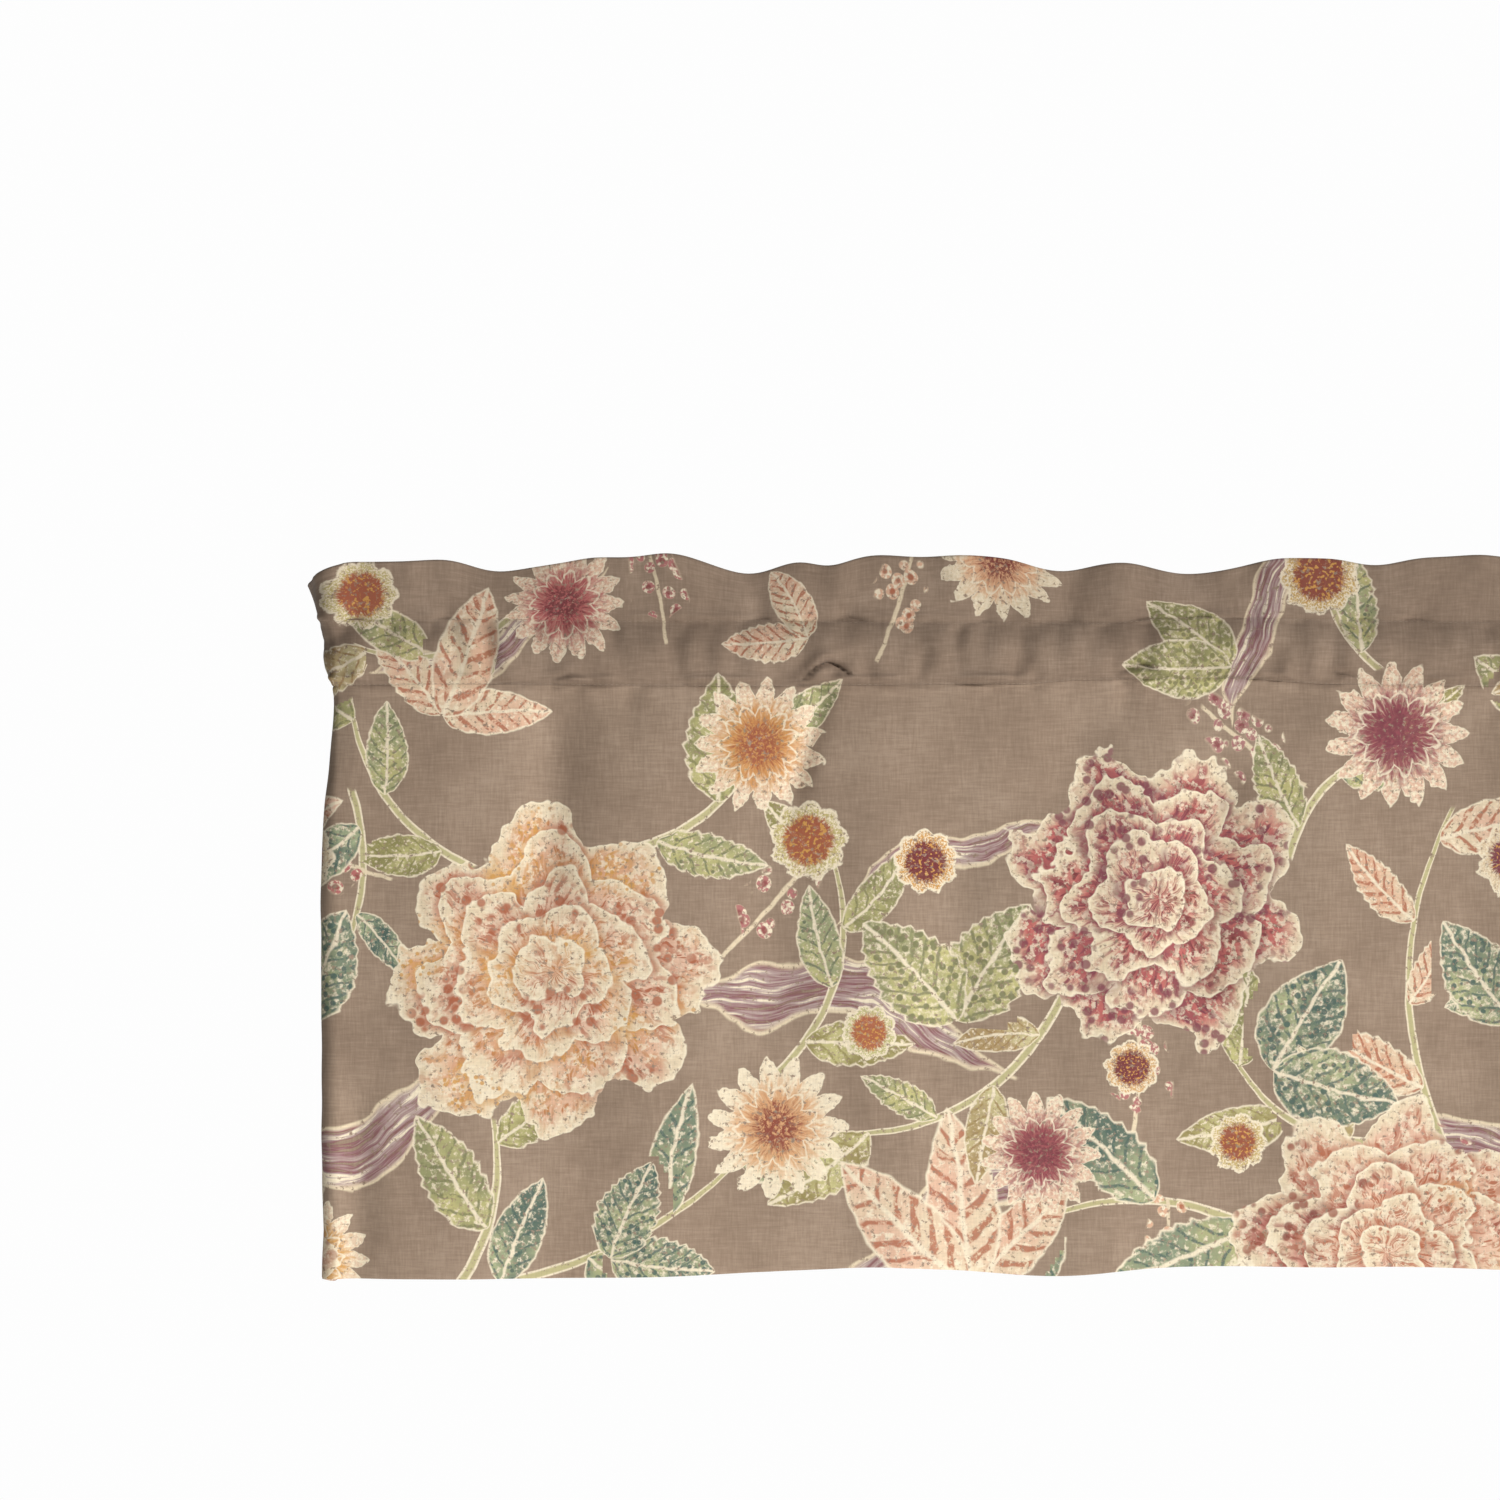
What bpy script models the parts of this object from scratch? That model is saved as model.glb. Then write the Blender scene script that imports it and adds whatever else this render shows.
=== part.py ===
"""Rod-pocket window valance, in the shape in which it hangs.

Metres, +Z up. The front faces -Y, the wall is on the +Y side, and the origin is the
middle of the top edge. The cloth runs across the front and turns back at both ends to
meet the wall. It is made of two cloth pieces:

heading  the doubled crest, and below it the hollow pocket for a flat rod
panel    the single cloth that hangs from the pocket's lower seam, with its hems

The cloth is followed from its middle (0) to the two wall ends, and "out" is always
the side that faces away from the rod and the window.
"""

import math
from collections import namedtuple

import bmesh
import bpy

# Driving sizes of the whole valance
WIDTH = 1.270  # across the front, between the seams' outer corners
DROP = 0.406  # top edge to hem
RETURN = 0.050  # front to wall
BEND = 0.0082  # plan radius of the cloth at the corners, at the seams

# Driving sizes of the heading
CREST = 0.0375  # top edge to upper seam
POCKET = 0.0355  # upper seam to lower seam, with the rod in it
POCKET_ROOM = 0.0120  # clear depth of the pocket, front to back
POCKET_FULLNESS = 2.5  # 2 is an ellipse, more is squarer
SEAM_BAND = 0.0012  # flat stitched strip beside each seam

# Driving sizes of the cloth
CLOTH = 0.0011  # one layer
HEM = 0.028  # height of the turned bottom hem
SIDE_HEM = 0.016  # width of the turned hem at each wall end
HEM_EXTRA = 0.0009  # how much thicker the turned cloth is
SEAM_GAP = 0.0003  # between heading and panel

# How finely the cloth is divided
FRONT_COLUMNS = 108
CORNER_COLUMNS = 7
RETURN_COLUMNS = 3
POCKET_LEVELS = (-0.92, -0.55, 0.55, 0.92)  # shares of the pocket's half height
PANEL_DEPTHS = (0.084, 0.102, 0.132, 0.170, 0.212, 0.256, 0.300, 0.342)

# Gathers of the heading, a row for each. at: place along the cloth; half: half width;
# drop: how far the top edge dips; lean: how far the crest leans out at its top;
# puff: how far the pocket's cloth swells over the rod.
Gather = namedtuple("Gather", "at half drop lean puff")
GATHERS = (
    Gather(-0.674, 0.022, 0.0104, 0.0070, 0.0003),
    Gather(-0.652, 0.020, 0.0122, 0.0052, 0.0005),
    Gather(-0.601, 0.027, 0.0025, 0.0020, 0.0000),
    Gather(-0.530, 0.033, 0.0074, -0.0038, 0.0012),
    Gather(-0.437, 0.019, -0.0014, 0.0026, 0.0000),
    Gather(-0.396, 0.022, 0.0089, -0.0046, 0.0004),
    Gather(-0.351, 0.015, 0.0047, 0.0020, 0.0020),
    Gather(-0.277, 0.017, -0.0008, 0.0030, 0.0004),
    Gather(-0.218, 0.026, 0.0077, -0.0042, 0.0014),
    Gather(-0.190, 0.010, 0.0003, 0.0018, 0.0004),
    Gather(-0.142, 0.034, 0.0091, -0.0048, 0.0018),
    Gather(-0.095, 0.016, -0.0008, 0.0028, 0.0010),
    Gather(-0.046, 0.024, 0.0045, -0.0024, 0.0002),
    Gather(0.013, 0.040, -0.0002, 0.0026, 0.0008),
    Gather(0.083, 0.022, 0.0068, -0.0040, 0.0014),
    Gather(0.142, 0.028, 0.0010, 0.0024, 0.0002),
    Gather(0.206, 0.019, 0.0080, -0.0044, 0.0018),
    Gather(0.247, 0.020, 0.0030, 0.0022, 0.0006),
    Gather(0.318, 0.026, 0.0058, -0.0036, 0.0010),
    Gather(0.381, 0.030, -0.0006, 0.0028, 0.0004),
    Gather(0.437, 0.018, 0.0074, -0.0042, 0.0016),
    Gather(0.492, 0.026, 0.0018, 0.0020, 0.0002),
    Gather(0.551, 0.023, 0.0064, -0.0036, 0.0012),
    Gather(0.604, 0.030, 0.0022, 0.0022, 0.0000),
    Gather(0.654, 0.018, 0.0098, 0.0050, 0.0005),
    Gather(0.676, 0.022, 0.0080, 0.0058, 0.0003),
)

# Folds of the panel, a row for each. at: place along the cloth at the fold's top end;
# half: half width; out: height, negative for a valley; top, bottom: depths below the
# top edge where it starts and ends; slant: sideways run for each metre down.
Fold = namedtuple("Fold", "at half out top bottom slant")
FOLDS = (
    Fold(-0.668, 0.024, 0.0030, 0.120, 0.470, 0.00),
    Fold(-0.616, 0.012, -0.0046, 0.290, 0.470, -0.02),
    Fold(-0.572, 0.030, 0.0030, 0.070, 0.470, 0.04),
    Fold(-0.502, 0.017, -0.0064, 0.066, 0.205, -0.08),
    Fold(-0.446, 0.034, 0.0036, 0.070, 0.470, 0.02),
    Fold(-0.354, 0.008, -0.0046, 0.062, 0.135, -0.42),
    Fold(-0.378, 0.022, -0.0044, 0.105, 0.280, -0.02),
    Fold(-0.326, 0.024, 0.0034, 0.074, 0.470, 0.06),
    Fold(-0.276, 0.018, -0.0042, 0.140, 0.300, -0.06),
    Fold(-0.240, 0.009, -0.0030, 0.064, 0.100, 0.40),
    Fold(-0.206, 0.020, -0.0048, 0.066, 0.160, -0.10),
    Fold(-0.172, 0.022, 0.0030, 0.120, 0.470, -0.10),
    Fold(-0.130, 0.019, -0.0062, 0.100, 0.262, -0.07),
    Fold(-0.078, 0.034, 0.0040, 0.070, 0.470, 0.03),
    Fold(0.004, 0.026, -0.0036, 0.072, 0.330, 0.05),
    Fold(0.066, 0.026, 0.0034, 0.090, 0.470, 0.02),
    Fold(0.110, 0.016, -0.0058, 0.064, 0.240, 0.07),
    Fold(0.168, 0.034, 0.0036, 0.070, 0.470, -0.02),
    Fold(0.236, 0.018, -0.0050, 0.062, 0.190, -0.12),
    Fold(0.252, 0.026, -0.0030, 0.220, 0.380, 0.03),
    Fold(0.300, 0.026, 0.0032, 0.080, 0.470, 0.05),
    Fold(0.352, 0.016, -0.0054, 0.064, 0.270, 0.06),
    Fold(0.414, 0.034, 0.0036, 0.070, 0.470, -0.03),
    Fold(0.470, 0.018, -0.0046, 0.066, 0.160, -0.10),
    Fold(0.526, 0.030, 0.0032, 0.100, 0.470, 0.02),
    Fold(0.574, 0.018, -0.0052, 0.068, 0.300, 0.06),
    Fold(0.668, 0.026, 0.0028, 0.120, 0.470, 0.00),
)
FOLD_FADE = 0.034  # height over which a fold dies out at its ends

# Slow unevenness of the sewn lines, a row for each wave: wave length, height, and
# where along the cloth it starts.
Wave = namedtuple("Wave", "length height start")
SEAM_WAVES = (Wave(0.31, 0.0005, 0.02), Wave(0.117, 0.0003, 0.05))
HEM_WAVES = (Wave(0.47, 0.0012, -0.05), Wave(0.173, 0.0006, 0.03))

# How the returns hang at the wall end of the hem
TOE_IN = 0.0075  # towards the middle
DROOP = 0.0060  # below the front's hem

LINEN = (0.385, 0.312, 0.246, 1.0)
LINEN_SHADED = (0.352, 0.284, 0.224, 1.0)


def half_length(bend):
    """Length of cloth from the middle of the front to a wall end."""
    return WIDTH / 2 + RETURN - (2 - math.pi / 2) * bend


def plan(along, bend):
    """(x, y, out_x, out_y) seen from above, at a distance along the cloth."""
    side, gone = math.copysign(1.0, along), abs(along)
    flat, arc = WIDTH / 2 - bend, bend * math.pi / 2
    turn = min(max((gone - flat) / bend, 0.0), math.pi / 2)
    x = min(gone, flat) + bend * math.sin(turn)
    y = bend * (1 - math.cos(turn)) + max(gone - flat - arc, 0.0)
    return side * x, y, side * math.sin(turn), -math.cos(turn)


def bell(distance, half):
    return math.exp(-((distance / half) ** 2))


def ramp(value):
    """0 below 0, 1 above 1, and a soft step between."""
    value = min(max(value, 0.0), 1.0)
    return value * value * (3 - 2 * value)


def waves(rows, along):
    return sum(w.height * math.sin(2 * math.pi * (along - w.start) / w.length) for w in rows)


def gathered(along, column):
    """The sum of one column of the gathers' table, at a place along the cloth."""
    return sum(getattr(g, column) * bell(along - g.at, g.half) for g in GATHERS)


def folded(along, depth):
    """How far the folds push the panel out, at a place along it and a depth."""
    total = 0.0
    for f in FOLDS:
        start = ramp((depth - f.top) / FOLD_FADE)
        end = ramp((f.bottom - depth) / FOLD_FADE)
        centre = f.at + f.slant * (depth - f.top)
        total += f.out * start * end * bell(along - centre, f.half)
    return total


def columns():
    """Places along the cloth, closer together round the corners."""
    flat, arc = WIDTH / 2 - BEND, BEND * math.pi / 2
    front = [flat * (2 * i / FRONT_COLUMNS - 1) for i in range(FRONT_COLUMNS + 1)]
    corner = [flat + arc * (i + 1) / CORNER_COLUMNS for i in range(CORNER_COLUMNS)]
    rest = half_length(BEND) - flat - arc
    wall = [flat + arc + rest * (i + 1) / RETURN_COLUMNS for i in range(RETURN_COLUMNS)]
    hem_side = half_length(BEND) - SIDE_HEM
    wall = sorted(wall + [hem_side - HEM_EXTRA, hem_side])
    ends = corner + wall
    return [-e for e in reversed(ends)] + front + ends


def point(along, out, height, bend=BEND):
    x, y, out_x, out_y = plan(along, bend)
    return x + out * out_x, y + out * out_y, height


def pocket_reach(share):
    """Half the clear depth of the pocket, at a share of its half height."""
    left = 1 - abs(share) ** POCKET_FULLNESS
    return POCKET_ROOM / 2 * left ** (1 / POCKET_FULLNESS)


def heading_section(along):
    """One cross-section: (front, back, room in front, room behind), bottom to top."""
    crest = -gathered(along, "drop")
    upper = -CREST + waves(SEAM_WAVES, along)
    lower = -CREST - POCKET - waves(SEAM_WAVES, along + POCKET)
    lean = gathered(along, "lean")
    puff = max(gathered(along, "puff"), 0.0)
    low, high = lower + SEAM_BAND, upper
    middle, half = (low + high) / 2, (high - low) / 2
    front = [point(along, CLOTH, lower), point(along, CLOTH, low)]
    back = [point(along, -CLOTH, lower), point(along, -CLOTH, low)]
    room_front, room_back = [], []
    for share in POCKET_LEVELS:
        reach = pocket_reach(share)
        height = middle + half * share
        swell = puff * math.sqrt(1 - share**2)
        front.append(point(along, reach + swell + CLOTH, height))
        back.append(point(along, -reach - CLOTH, height))
        room_front.append(point(along, reach + swell, height))
        room_back.append(point(along, -reach, height))
    tips = point(along, 0.0, low), point(along, 0.0, high)
    for share in (0.0, SEAM_BAND / CREST, 0.45, 1.0):
        height = high + share * (crest - high)
        out = lean * share**1.4
        front.append(point(along, out + CLOTH, height))
        back.append(point(along, out - CLOTH, height))
    return front, back, [tips[0]] + room_front + [tips[1]], room_back


def hem_depth(along):
    """Depth of the hem below the top edge."""
    wall = ramp((abs(along) - WIDTH / 2 + BEND) / RETURN)
    return DROP + waves(HEM_WAVES, along) + DROOP * wall


def panel_section(along):
    """One cross-section: (front, back), seam to hem."""
    top = CREST + POCKET + waves(SEAM_WAVES, along + POCKET) + SEAM_GAP
    hem = hem_depth(along)
    at_side = abs(along) > half_length(BEND) - SIDE_HEM - HEM_EXTRA / 2
    wall = ramp((abs(along) - WIDTH / 2 + BEND) / RETURN)
    depths = [top, *PANEL_DEPTHS, hem - HEM - HEM_EXTRA, hem - HEM, hem]
    front, back = [], []
    for depth in depths:
        hang = ramp((depth - top) / (hem - top))
        out = CLOTH + folded(along, depth) - TOE_IN * wall * hang
        turned = at_side or depth > hem - HEM - HEM_EXTRA / 2
        thick = CLOTH + (HEM_EXTRA if turned and depth > top else 0.0)
        front.append(point(along, out, -depth))
        back.append(point(along, out - thick, -depth))
    return front, back


def strip(bm, left, right):
    """Faces between two rows of points, each a list from neighbouring sections."""
    for i in range(len(left) - 1):
        bm.faces.new((left[i], left[i + 1], right[i + 1], right[i]))


def finish(name, bm, colour):
    bmesh.ops.recalc_face_normals(bm, faces=bm.faces)
    mesh = bpy.data.meshes.new(name)
    bm.to_mesh(mesh)
    bm.free()
    mesh.shade_smooth()
    mesh.set_sharp_from_angle(angle=math.radians(50))
    mesh.materials.append(cloth_material(name, colour))
    bpy.context.scene.collection.objects.link(bpy.data.objects.new(name, mesh))


def cloth_material(name, colour):
    material = bpy.data.materials.new(name + " linen")
    material.use_nodes = True
    shader = material.node_tree.nodes["Principled BSDF"]
    shader.inputs["Base Color"].default_value = colour
    shader.inputs["Roughness"].default_value = 0.85
    shader.inputs["Metallic"].default_value = 0.0
    return material


def placed(bm, points):
    return [bm.verts.new(p) for p in points]


def make_heading():
    """The doubled crest and the open-ended pocket, one section for each column."""
    bm = bmesh.new()
    sections = [[placed(bm, row) for row in heading_section(a)] for a in columns()]
    for this, after in zip(sections, sections[1:]):
        for row, next_row in zip(this[:2], after[:2]):
            strip(bm, row, next_row)
        room = this[2] + this[3][::-1] + this[2][:1]
        next_room = after[2] + after[3][::-1] + after[2][:1]
        strip(bm, room, next_room)
        strip(bm, [this[0][0], this[1][0]], [after[0][0], after[1][0]])
        strip(bm, [this[0][-1], this[1][-1]], [after[0][-1], after[1][-1]])
    for front, back, room_front, room_back in (sections[0], sections[-1]):
        end_faces(bm, front, back, room_front, room_back)
    finish("heading", bm, LINEN_SHADED)


def end_faces(bm, front, back, room_front, room_back):
    """Closes the cloth at a wall end, and leaves the pocket open there."""
    top = len(POCKET_LEVELS) + 2
    room_back = [room_front[0]] + room_back + [room_front[-1]]
    bm.faces.new((front[0], front[1], room_front[0], back[1], back[0]))
    for i in range(1, top):
        bm.faces.new((front[i], front[i + 1], room_front[i], room_front[i - 1]))
        bm.faces.new((back[i], back[i + 1], room_back[i], room_back[i - 1]))
    bm.faces.new((front[top], front[top + 1], back[top + 1], back[top], room_front[-1]))
    for i in range(top + 1, len(front) - 1):
        bm.faces.new((front[i], front[i + 1], back[i + 1], back[i]))


def make_panel():
    """The hanging cloth, with its turned hems at the bottom and at the wall ends."""
    bm = bmesh.new()
    sections = [[placed(bm, row) for row in panel_section(a)] for a in columns()]
    rings = [front + back[::-1] + front[:1] for front, back in sections]
    for this, after in zip(rings, rings[1:]):
        strip(bm, this, after)
    for front, back in (sections[0], sections[-1]):
        strip(bm, front, back)
    finish("panel", bm, LINEN)


def main():
    for obj in list(bpy.data.objects):
        bpy.data.objects.remove(obj, do_unlink=True)
    make_heading()
    make_panel()


main()
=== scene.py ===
"""Rod-pocket window valance of printed linen.

Metres, +Z up, the front faces -Y. The rows of tables are in millimetres. The cloth is
followed from its middle (0) to the two wall ends, and "out" is the side that faces away
from the rod and the window. The print and the weave lie in the flat cloth's own measure:
across, and down from the top fold.
"""
import math
from collections import namedtuple

import bpy
import numpy as np
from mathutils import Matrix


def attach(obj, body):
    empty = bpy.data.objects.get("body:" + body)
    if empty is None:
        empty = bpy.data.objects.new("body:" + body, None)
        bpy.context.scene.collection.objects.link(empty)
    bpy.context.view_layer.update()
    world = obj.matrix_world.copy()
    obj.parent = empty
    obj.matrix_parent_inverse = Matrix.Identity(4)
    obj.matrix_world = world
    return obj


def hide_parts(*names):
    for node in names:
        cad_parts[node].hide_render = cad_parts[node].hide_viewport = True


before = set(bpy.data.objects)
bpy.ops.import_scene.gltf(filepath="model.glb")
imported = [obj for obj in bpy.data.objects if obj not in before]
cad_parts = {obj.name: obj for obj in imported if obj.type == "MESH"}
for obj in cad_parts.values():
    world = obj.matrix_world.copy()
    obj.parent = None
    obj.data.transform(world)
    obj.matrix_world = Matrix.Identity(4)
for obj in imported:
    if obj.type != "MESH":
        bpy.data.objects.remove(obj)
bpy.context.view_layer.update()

# ---------------------------------------------------------------- sizes of the valance
WIDTH = 1.270
DROP = 0.4035
RETURN = 0.050
BEND = 0.0082
CREST = 0.0375
POCKET_ROOM = 0.0120
POCKET_ROUNDING = 2.1
SEAM_BAND = 0.0012
EDGE_LIFT, EDGE_INSET = 0.0001, 0.0002  # of the heading's lower edge
HEM = 0.028
SIDE_HEM = 0.016
TOE_IN = 0.0075  # how far the hem is drawn in at the wall
DROOP = 0.0060  # and how much lower it hangs

CLOTH = 0.0009  # one layer
LAYER_SLACK = 0.00012  # between two layers sewn together
# Rows of the meshes, in runs of (start, end, steps), and steps between their columns.
POCKET_ROWS = (-1, -0.72, 9), (-0.72, 0.2, 14), (0.2, 0.8, 6), (0.8, 1, 4)
CREST_ROWS = (0, 0.12, 4), (0.12, 0.90, 13), (0.90, 0.96, 1)
FOLD_STEPS = 7  # over the crest's fold
PANEL_ROWS = (0, 0.006, 5), (0.006, 0.05, 16), (0.05, 0.93, 58), (0.93, 1, 1)
HEM_ROWS = (1, 0.93, 1), (0.93, 0.1, 6), (0.1, 0, 2)
COLUMN_STEPS = 236, 14, 10, 1, 7  # half the front, corner, return, edge of its hem, hem
HEM_ROW_COUNT = 9  # the hem's stitches lie this many rows above its edge
SIDE_STITCH_COLUMN = 5  # and the side hems' this many from the wall end
UPPER_SEAM_ROW = 34  # counted from the heading's lower edge
STITCH = 0.0023
PITCH = 0.0031  # from one stitch to the next
THREAD = 0.00036
HEM_STEP = 0.0002  # over which the cloth gets thicker where a hem begins
TUCK = 0.0008  # how far the panel's top edge goes up behind the heading's lower edge
END_DROP = 0.0100  # how much lower the crest ends at the wall
END_DROP_RUN = 0.026


def table(kind, plain, *rows):
    """Rows of a kind, given in millimetres, apart from the fields named as plain."""
    return tuple(kind(*(value if field in plain.split() else value / 1000
                        for field, value in zip(kind._fields, row))) for row in rows)


Shift = namedtuple("Shift", "depth out")
# The returns are pushed out above the pocket, and drawn in at its lower seam.
END_SHIFTS = table(Shift, "",
    (0, 0.8), (17, 1), (29, 3.4), (36, 3.4), (47, -3.2), (62, -0.8), (73, -5.2), (89, -5.3),
    (120, -2.6), (136, -0.8), (200, 1.3), (420, 1.5),
)
FLAT_END = 0.80  # share of its fullness that the pocket loses at the returns
TUCKED_OUT = 0.00040  # the panel's front, where it is sewn in behind the heading
THIN = 0.00028  # the heading's cloth there
TUCKED = THIN + 0.00012  # and the panel's
FREED_FROM, FREED_OVER = 0.0002, 0.0017  # heights at the seam where the panel comes out

Gather = namedtuple("Gather", "at half drop lean puff")
GATHERS = table(Gather, "",
    (-674, 22, 9, 6.2, 0.3), (-652, 20, 10.4, 4.8, 0.5), (-638, 11, 4.6, 0, 0),
    (-601, 27, 2.5, 2, 0), (-530, 33, 7.4, -3.8, 1.2), (-437, 19, -1.4, 2.6, 0),
    (-396, 22, 8.9, -4.6, 0.4), (-351, 15, 4.7, 2, 2), (-277, 17, -0.8, 3, 0.4),
    (-218, 26, 7.7, -4.2, 1.4), (-190, 10, 0.3, 1.8, 0.4), (-142, 34, 9.1, -4.8, 1.8),
    (-95, 16, -0.8, 2.8, 1), (-46, 24, 4.5, -2.4, 0.2), (13, 40, -0.2, 2.6, 0.8),
    (83, 22, 6.8, -4, 1.4), (142, 28, 1, 2.4, 0.2), (206, 19, 8, -4.4, 1.8),
    (247, 20, 3, 2.2, 0.6), (318, 26, 5.8, -3.6, 1), (381, 30, -0.6, 2.8, 0.4),
    (437, 18, 7.4, -4.2, 1.6), (492, 26, 1.8, 2, 0.2), (551, 23, 6.4, -3.6, 1.2),
    (604, 30, 2.2, 2.2, 0), (654, 18, 9.8, 5, 0.5), (676, 22, 8, 5.8, 0.3),
)

Fold = namedtuple("Fold", "at half out top bottom slant")
FOLDS = table(Fold, "slant",
    (-668, 24, 3, 120, 470, 0), (-616, 12, -4.6, 290, 470, -0.02), (-572, 30, 3, 70, 470, 0.04),
    (-502, 17, -6.4, 66, 205, -0.08), (-446, 34, 3.6, 70, 470, 0.02),
    (-341, 7, -4.8, 36, 158, -0.31), (-378, 22, -4.4, 105, 280, -0.02),
    (-326, 24, 3.4, 74, 470, 0.06), (-276, 18, -4.2, 140, 300, -0.06),
    (-240, 9, -3, 64, 100, 0.4), (-206, 20, -4.8, 66, 160, -0.1), (-172, 22, 3, 120, 470, -0.1),
    (-130, 19, -6.2, 100, 262, -0.07), (-78, 34, 4, 70, 470, 0.03),
    (4, 26, -3.6, 72, 330, 0.05), (66, 26, 3.4, 90, 470, 0.02), (110, 16, -5.8, 64, 240, 0.07),
    (168, 34, 3.6, 70, 470, -0.02), (236, 18, -5, 62, 190, -0.12),
    (252, 26, -3, 220, 380, 0.03), (300, 26, 3.2, 80, 470, 0.05),
    (352, 16, -5.4, 64, 270, 0.06), (414, 34, 3.6, 70, 470, -0.03),
    (470, 18, -4.6, 66, 160, -0.1), (526, 30, 3.2, 100, 470, 0.02),
    (574, 18, -5.2, 68, 300, 0.06), (668, 26, 2.8, 120, 470, 0),
)
FOLD_FADE = 0.034

# Depths of the two seams below the top edge, which wander as the cloth was gathered.
Seams = namedtuple("Seams", "at upper lower")
SEAM_PLACES = table(Seams, "",
    (-680, 37.2, 73), (-600, 36.2, 72.6), (-540, 35.2, 72), (-480, 36.6, 72.8),
    (-385, 36.2, 73.2), (-335, 37.2, 72.7), (-270, 37.6, 71.9), (-238, 37.2, 72.2),
    (-216, 38, 70), (-190, 37.6, 69.4), (-160, 35, 69.1), (-125, 34.5, 68.6),
    (-108, 34.8, 69.2), (-92, 35.2, 70.7), (-76, 35.6, 71.9), (-30, 36.6, 72.8),
    (40, 37.8, 73.3), (105, 36.6, 71.8), (150, 35.2, 72.2), (215, 36.8, 73.5), (262, 38, 71.6),
    (300, 37.4, 70.4), (345, 35.8, 71.2), (400, 36.4, 73), (470, 37.8, 73.4), (520, 36.8, 72),
    (575, 35.6, 72.2), (630, 36.8, 73.1), (680, 37.4, 73),
)
SEAM_SOFTNESS = 0.007

Wave = namedtuple("Wave", "length height start")
HEM_WAVES = (Wave(0.47, 0.0012, -0.05), Wave(0.173, 0.0006, 0.03))

# How much lower the hem hangs: left of a place, over a run, and in dips of a half width.
HemChange = namedtuple("HemChange", "at run drop")
HEM_SLOPES = (HemChange(0.130, 0.18, -0.0032), HemChange(-0.270, 0.30, 0.0074))
HEM_DIPS = (HemChange(-0.222, 0.050, 0.0058), HemChange(-0.322, 0.020, -0.0006),
            HemChange(0.205, 0.060, 0.0022), HemChange(0.420, 0.080, -0.0016))

# ------------------------------------------------------- finer creases, added to those above
# Creases of the pocket, from one seam towards the other. at: place along; half: half
# width; out: height, negative for a trough; reach: share of the pocket's height;
# seam: 1 from the lower seam up, -1 from the upper seam down; slant: sideways run.
Crease = namedtuple("Crease", "at half out reach seam slant")
CREASES = table(Crease, "reach seam",
    (-565, 6, -2, 0.9, -1, 3), (-545, 10, -1.8, 0.6, 1, 4), (-528, 7, 1, 0.5, 1, 0),
    (-512, 9, -1.6, 0.55, 1, -4), (-448, 12, -1.2, 0.45, -1, 3), (-402, 8, -1.4, 0.8, -1, 5),
    (-376, 8.5, -3.4, 0.5, 1, 12), (-361, 5, 1.6, 0.62, 1, 12), (-351, 5.5, -3, 0.55, 1, 14),
    (-338, 6, 1.6, 0.5, 1, -8), (-327, 5.5, -2.2, 0.66, 1, -10), (-306, 8, -1.2, 0.9, -1, 4),
    (-262, 6.5, -1.6, 0.75, -1, -4), (-246, 6, -2, 0.6, 1, 6), (-232, 7, -1.8, 0.8, 1, -6),
    (-214, 6, 1.2, 0.8, -1, 0), (-198, 7.5, -1.8, 0.7, -1, 5), (-181, 6, -1.4, 0.65, 1, 3),
    (-166, 6, 1.2, 0.75, 1, -3), (-150, 7, -2.4, 0.78, 1, -6), (-133, 6.5, -1.8, 0.6, -1, 6),
    (-112, 7, -1.6, 0.7, 1, 4), (-86, 8, -1.8, 0.75, 1, -5), (-64, 7, -1.4, 0.55, -1, 3),
    (-30, 8, -1.2, 0.6, 1, 4),
)
# Cloth caught in the lower seam: a trough that arches over a small swelling. rise: how
# far the arch comes up from the seam; deep: its depth.
Catch = namedtuple("Catch", "at half rise deep")
CATCHES = table(Catch, "",
    (-351, 16, 13, 3.6), (-176, 15, 8.5, 2.2), (-494, 17, 6, 1.6), (-62, 13, 6.5, 1.8),
    (118, 21, 11, 2.4), (286, 14, 7, 1.8), (402, 24, 12.5, 2.8), (561, 16, 7.5, 1.8),
)
# Where the pocket's cloth sags over the lower seam in a lip, and how far it stands out.
Sag = namedtuple("Sag", "at half out")
SAGS = table(Sag, "",
    (-512, 30, 1.2), (-260, 18, 2.6), (-166, 13, 2.2), (-108, 18, 2.6), (52, 20, 2),
    (174, 18, 2.6), (262, 24, 1.4), (338, 16, 2.2), (498, 26, 1.6), (590, 18, 2.2),
)
# Creases of the crest, from the upper seam up: run is how far they reach, and slant is
# their sideways lean.
Rise = namedtuple("Rise", "at half out run slant")
RISES = table(Rise, "slant",
    (-620, 6, -1.6, 30, 0.15), (-566, 5, -1.8, 26, 0.1), (-520, 6, 1.4, 30, -0.1),
    (-432, 7, 1.6, 34, 0.1), (-388, 4.8, -2.8, 46, -0.2), (-372, 6, 1.6, 34, -0.15),
    (-341, 6, -1.8, 24, 0.4), (-306, 5, -1.4, 30, 0.1), (-263, 4.5, -2.2, 26, 0),
    (-236, 6, 1.4, 32, 0.15), (-214, 5.5, -2.4, 40, -0.12), (-176, 6, -1.4, 26, 0.2),
    (-139, 6, -2.4, 40, 0.1), (-104, 6, 1.4, 30, -0.1), (-46, 5.5, -1.8, 34, 0.12),
)
CREASE_SEED = 41
MIRRORED_SHIFT = 0.021  # how far the far half's creases lie from a mirror image
SMALL_CREASES = 170  # in the pocket
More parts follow.
